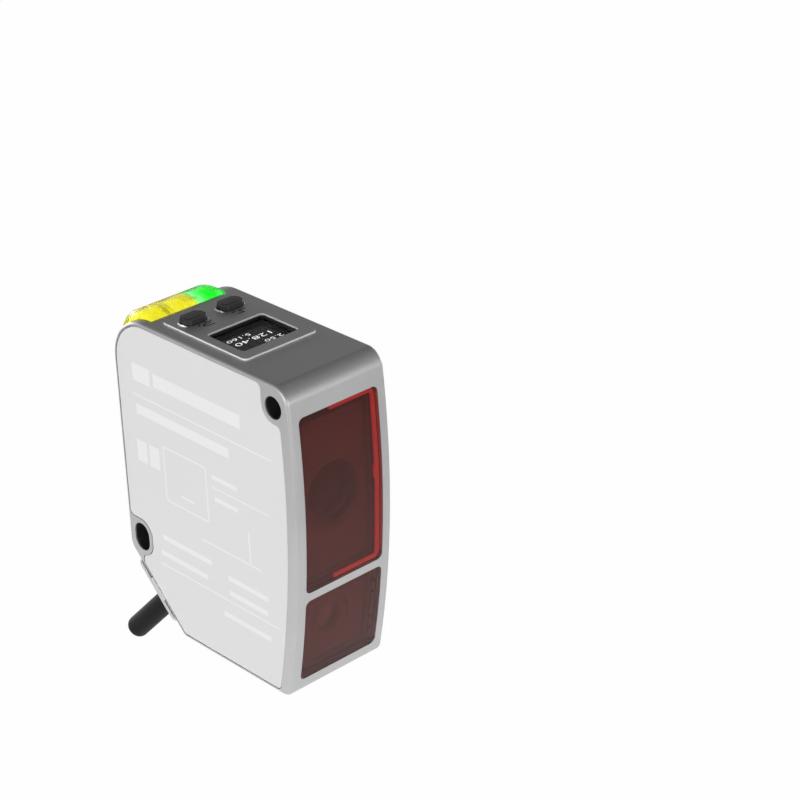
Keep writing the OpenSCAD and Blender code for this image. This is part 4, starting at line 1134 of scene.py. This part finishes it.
class SENSOR_OT_cable(Maker, Operator):
    """Cable with its cut end, gland plate, seal and grommet"""
    bl_idname = "sensor.cable"
    bl_label = "Cable and gland"

    def execute(self, context):
        cable = settings("cable")
        route = CHAMFER_MM + np.outer(CABLE_STEPS_MM, OUTWARD)
        piece = settle(self.jacket(cable.radius / MM, cable.sides, route), material(jacket),
                       "cable")
        for i in range(4):
            settle(self.core(f"cut_core_{i}", i, route[-1], 0.52, 0.0),
                               material(finish_of, f"insulation_{i}"))
            settle(self.core(f"cut_strand_{i}", i, route[-1], 0.2, 0.06),
                               material(finish_of, "brass"))
        skin("gland_plate", "gland_cover", material(gland_metal), 0.0001)
        paint("black_rubber", "gland_seal", "cable_grommet")
        paint("white_plastic", "cable_cores")
        return {"FINISHED"}

    def jacket(self, radius, sides, route):
        """A circle carried along the straight route, closed by a rounded rim and a sunk end."""
        length_ = np.linalg.norm(route[-1] - route[0])
        round_, lip, sunk, nothing = 0.2, 0.75, 0.35, 1e-6
        profile = [(0.0, nothing), (0.0, radius)]
        profile += [(at, radius) for at in np.linspace(1.0, length_ - round_, 24)]
        profile += [(length_ - round_ + round_ * np.sin(a), radius - round_ + round_ * np.cos(a))
                    for a in np.linspace(0, np.pi / 2, 5)[1:]]
        profile += [(length_, radius - lip), (length_ - sunk, radius - lip - 0.05),
                    (length_ - sunk, nothing)]
        return lathe("cable_jacket", route[0], profile, sides, 45.0)

    def core(self, name, index, end, radius, proud):
        """A short round end of one core or of its strand, set in the cable's cut face."""
        away, deep, bevel, nothing = 0.78, -0.6, 0.05, 1e-6
        turn = math.radians(45 + 90 * index)
        middle = end + away * (math.cos(turn) * ACROSS + math.sin(turn) * UPWARD)
        profile = ((deep, nothing), (deep, radius), (proud - 0.08, radius),
                   (proud - 0.03, radius - bevel), (proud - 0.03, nothing))
        return lathe(name, middle, profile, 24)


class SENSOR_OT_inside(Maker, Operator):
    """Optics and boards inside the housing"""
    bl_idname = "sensor.inside"
    bl_label = "Optics and boards"

    def execute(self, context):
        paint("grey_plastic", "lens_ring")
        paint("barrel", "laser_barrel")
        paint("chip", "image_sensor", "processor_chip", "small_chips")
        paint("can", "capacitors")
        paint("brass", "laser_diode")
        paint("steel", "board_screws", "bench_screws")
        paint("ribbon", "sensor_ribbon", "display_ribbon", "laser_ribbon")
        paint("white_plastic", "wire_connector")
        paint(material(bench_plastic), "optical_bench")
        paint(material(glass, "receiving_glass"), "receiving_lens")
        paint(material(glass, "laser_glass"), "collimating_lens")
        paint(material(circuit_board), "sensor_board", "laser_board", "main_board")
        return {"FINISHED"}


# The camera's pose about a target: turns in degrees, distance and shift in millimetres, and the
# focal length in pixels of a picture that is 800 wide
TARGET_MM = np.array([0.0, 25.0, 32.0])
CAMERA = {"azimuth": -42.7362, "elevation": 26.5002, "roll": -1.8416, "distance": 442.2367,
          "shift": (-26.9209, -16.9652), "focal": 2348.04}
FLOOR_MM = -19.2
WHITE = (1, 1, 1)


class SENSOR_OT_stage(Maker, Operator):
    """Floor, lamps, background and camera"""
    bl_idname = "sensor.stage"
    bl_label = "Stage"

    def execute(self, context):
        self.camera(context.scene)
        self.floor()
        self.world(context.scene)
        # name, position and size in metres, power in watts
        for name, place, size, power in (
                ("cover_lamp", (-0.70, 0.0, 0.025), (0.7, 0.2), 3.5),
                ("front_lamp", (0.05, -0.75, 0.0), (0.5, 0.14), 3.1),
                ("label_lamp", (0.72, 0.0, 0.025), (0.6, 0.2), 2.9),
                ("rear_lamp", (0.0, 0.78, 0.04), (0.5, 0.24), 3.1)):
            self.lamp(name, place, size, power * settings("stage").lamps)
        context.scene.view_settings.view_transform = "Standard"
        return {"FINISHED"}

    def camera(self, scene):
        """The camera's axes are turned by azimuth, elevation and roll, and its place keeps the
        target where the photograph has it."""
        pixels, sensor = 800, 36.0
        a, e, roll = (math.radians(CAMERA[k]) for k in ("azimuth", "elevation", "roll"))
        back = np.array([math.sin(a) * math.cos(e), -math.cos(a) * math.cos(e), math.sin(e)])
        right = np.cross([0, 0, 1.0], back)
        right /= np.linalg.norm(right)
        up = np.cross(back, right)
        c, s = math.cos(roll), math.sin(roll)
        right, up = c * right + s * up, -s * right + c * up
        tx, ty = CAMERA["shift"]
        place = TARGET_MM + DRAWING - tx * right - ty * up + CAMERA["distance"] * back
        data = bpy.data.cameras.new("camera")
        data.sensor_width = sensor
        data.lens = CAMERA["focal"] / pixels * sensor
        data.clip_start, data.clip_end = 0.01, 10.0
        holder = add("camera", data)
        turn = np.eye(4)
        turn[:3] = np.stack([right, up, back, place * MM], -1)
        holder.matrix_world = Matrix(turn.tolist())
        scene.camera = holder

    def floor(self):
        """A wide flat floor under the cable's end, almost white to the camera. In a mirror it is
        bright near the sensor and dark far off."""
        size, middle, bright, fade = 1500.0, float(TARGET_MM[1]), 60.0, 220.0
        corners = [(-size, -size), (size, -size), (size, size), (-size, size)]
        piece = build("floor", [(x, y, FLOOR_MM) for x, y in corners], [(0, 1, 2, 3)])
        s = Shader("floor")
        tone = s.vary(s.noise(0.004, 2.0), settings("stage").floor, 1.0, 0.985)
        matt = s.node("BsdfPrincipled", inputs={"Base Color": tone, "Roughness": 0.7})
        white, glare, dim = (s.node("Emission", inputs={0: WHITE, 1: strength})
                             for strength in (1.0, 1.3, 0.05))
        seen, shine = s.node("LightPath", out=("Is Camera Ray", "Is Glossy Ray"))
        x, y = s.place()[:2]
        near = s.clamp(1.0 - (s.distance(x, y - middle) - bright) / fade)
        ground = s.blend(shine, matt, s.blend(near, dim, glare))
        s.close(s.blend(seen * 0.98, ground, white))
        piece.data.materials.append(s.owner)

    def world(self, scene):
        """White behind the object and through its clear pieces, an even dim light on it, and in
        a mirror pale at the height of the horizon and dimmer overhead."""
        s = Shader("studio", "worlds")
        seen, shine, through = s.node(
            "LightPath", out=("Is Camera Ray", "Is Glossy Ray", "Is Transmission Ray"))
        height = s.node("SeparateXYZ", inputs={0: s.node("TexCoord", out="Generated")}, out="Z")
        sky = s.node("ValToRGB", {"stops": ((0.02, 0.9), (0.5, 0.12))}, {0: height})
        mirrored, ambient, white = (
            s.node("Background", inputs={0: tone, 1: strength})
            for tone, strength in ((sky, 1.0), (WHITE, 0.2), (WHITE, 1.0)))
        behind = s.math("ADD", seen, through, clamp=True)
        s.close(s.blend(behind, s.blend(shine, ambient, mirrored), white), "World")
        scene.world = s.owner

    def lamp(self, name, place, size, power):
        """A rectangular lamp that faces the middle of the sensor."""
        data = bpy.data.lights.new(name, "AREA")
        data.shape, data.size, data.size_y, data.energy = "RECTANGLE", *size, power
        holder = add(name, data)
        middle = Vector(((TARGET_MM + DRAWING) * MM).tolist())
        holder.location = place
        holder.rotation_euler = (middle - Vector(place)).to_track_quat("-Z", "Y").to_euler()


OPERATORS = (SENSOR_OT_stage, SENSOR_OT_cable, SENSOR_OT_housing, SENSOR_OT_label,
             SENSOR_OT_windows, SENSOR_OT_display, SENSOR_OT_keys, SENSOR_OT_status_lights,
             SENSOR_OT_inside)


class SENSOR_PT_panel(Panel):
    """Lists the makers of the sensor's pieces"""
    bl_idname = "SENSOR_PT_panel"
    bl_label = "Laser distance sensor"
    bl_space_type = "VIEW_3D"
    bl_region_type = "UI"
    bl_category = "Sensor"

    def draw(self, context):
        for operator in OPERATORS:
            self.layout.operator(operator.bl_idname)
        for group in GROUPS:
            name = scene_name(group)
            box = self.layout.box()
            box.label(text=name.replace("sensor_", "").capitalize())
            for key in group.__annotations__:
                box.prop(getattr(context.scene, name), key)


CLASSES = GROUPS + OPERATORS + (SENSOR_PT_panel,)


def register():
    for cls in CLASSES:
        bpy.utils.register_class(cls)
    for group in GROUPS:
        setattr(bpy.types.Scene, scene_name(group), PointerProperty(type=group))


def unregister():
    for group in GROUPS:
        delattr(bpy.types.Scene, scene_name(group))
    for cls in reversed(CLASSES):
        bpy.utils.unregister_class(cls)


def main():
    """Makes every piece."""
    register()
    for operator in OPERATORS:
        group, name = operator.bl_idname.split(".")
        getattr(getattr(bpy.ops, group), name)()


if __name__ == "__main__":
    main()
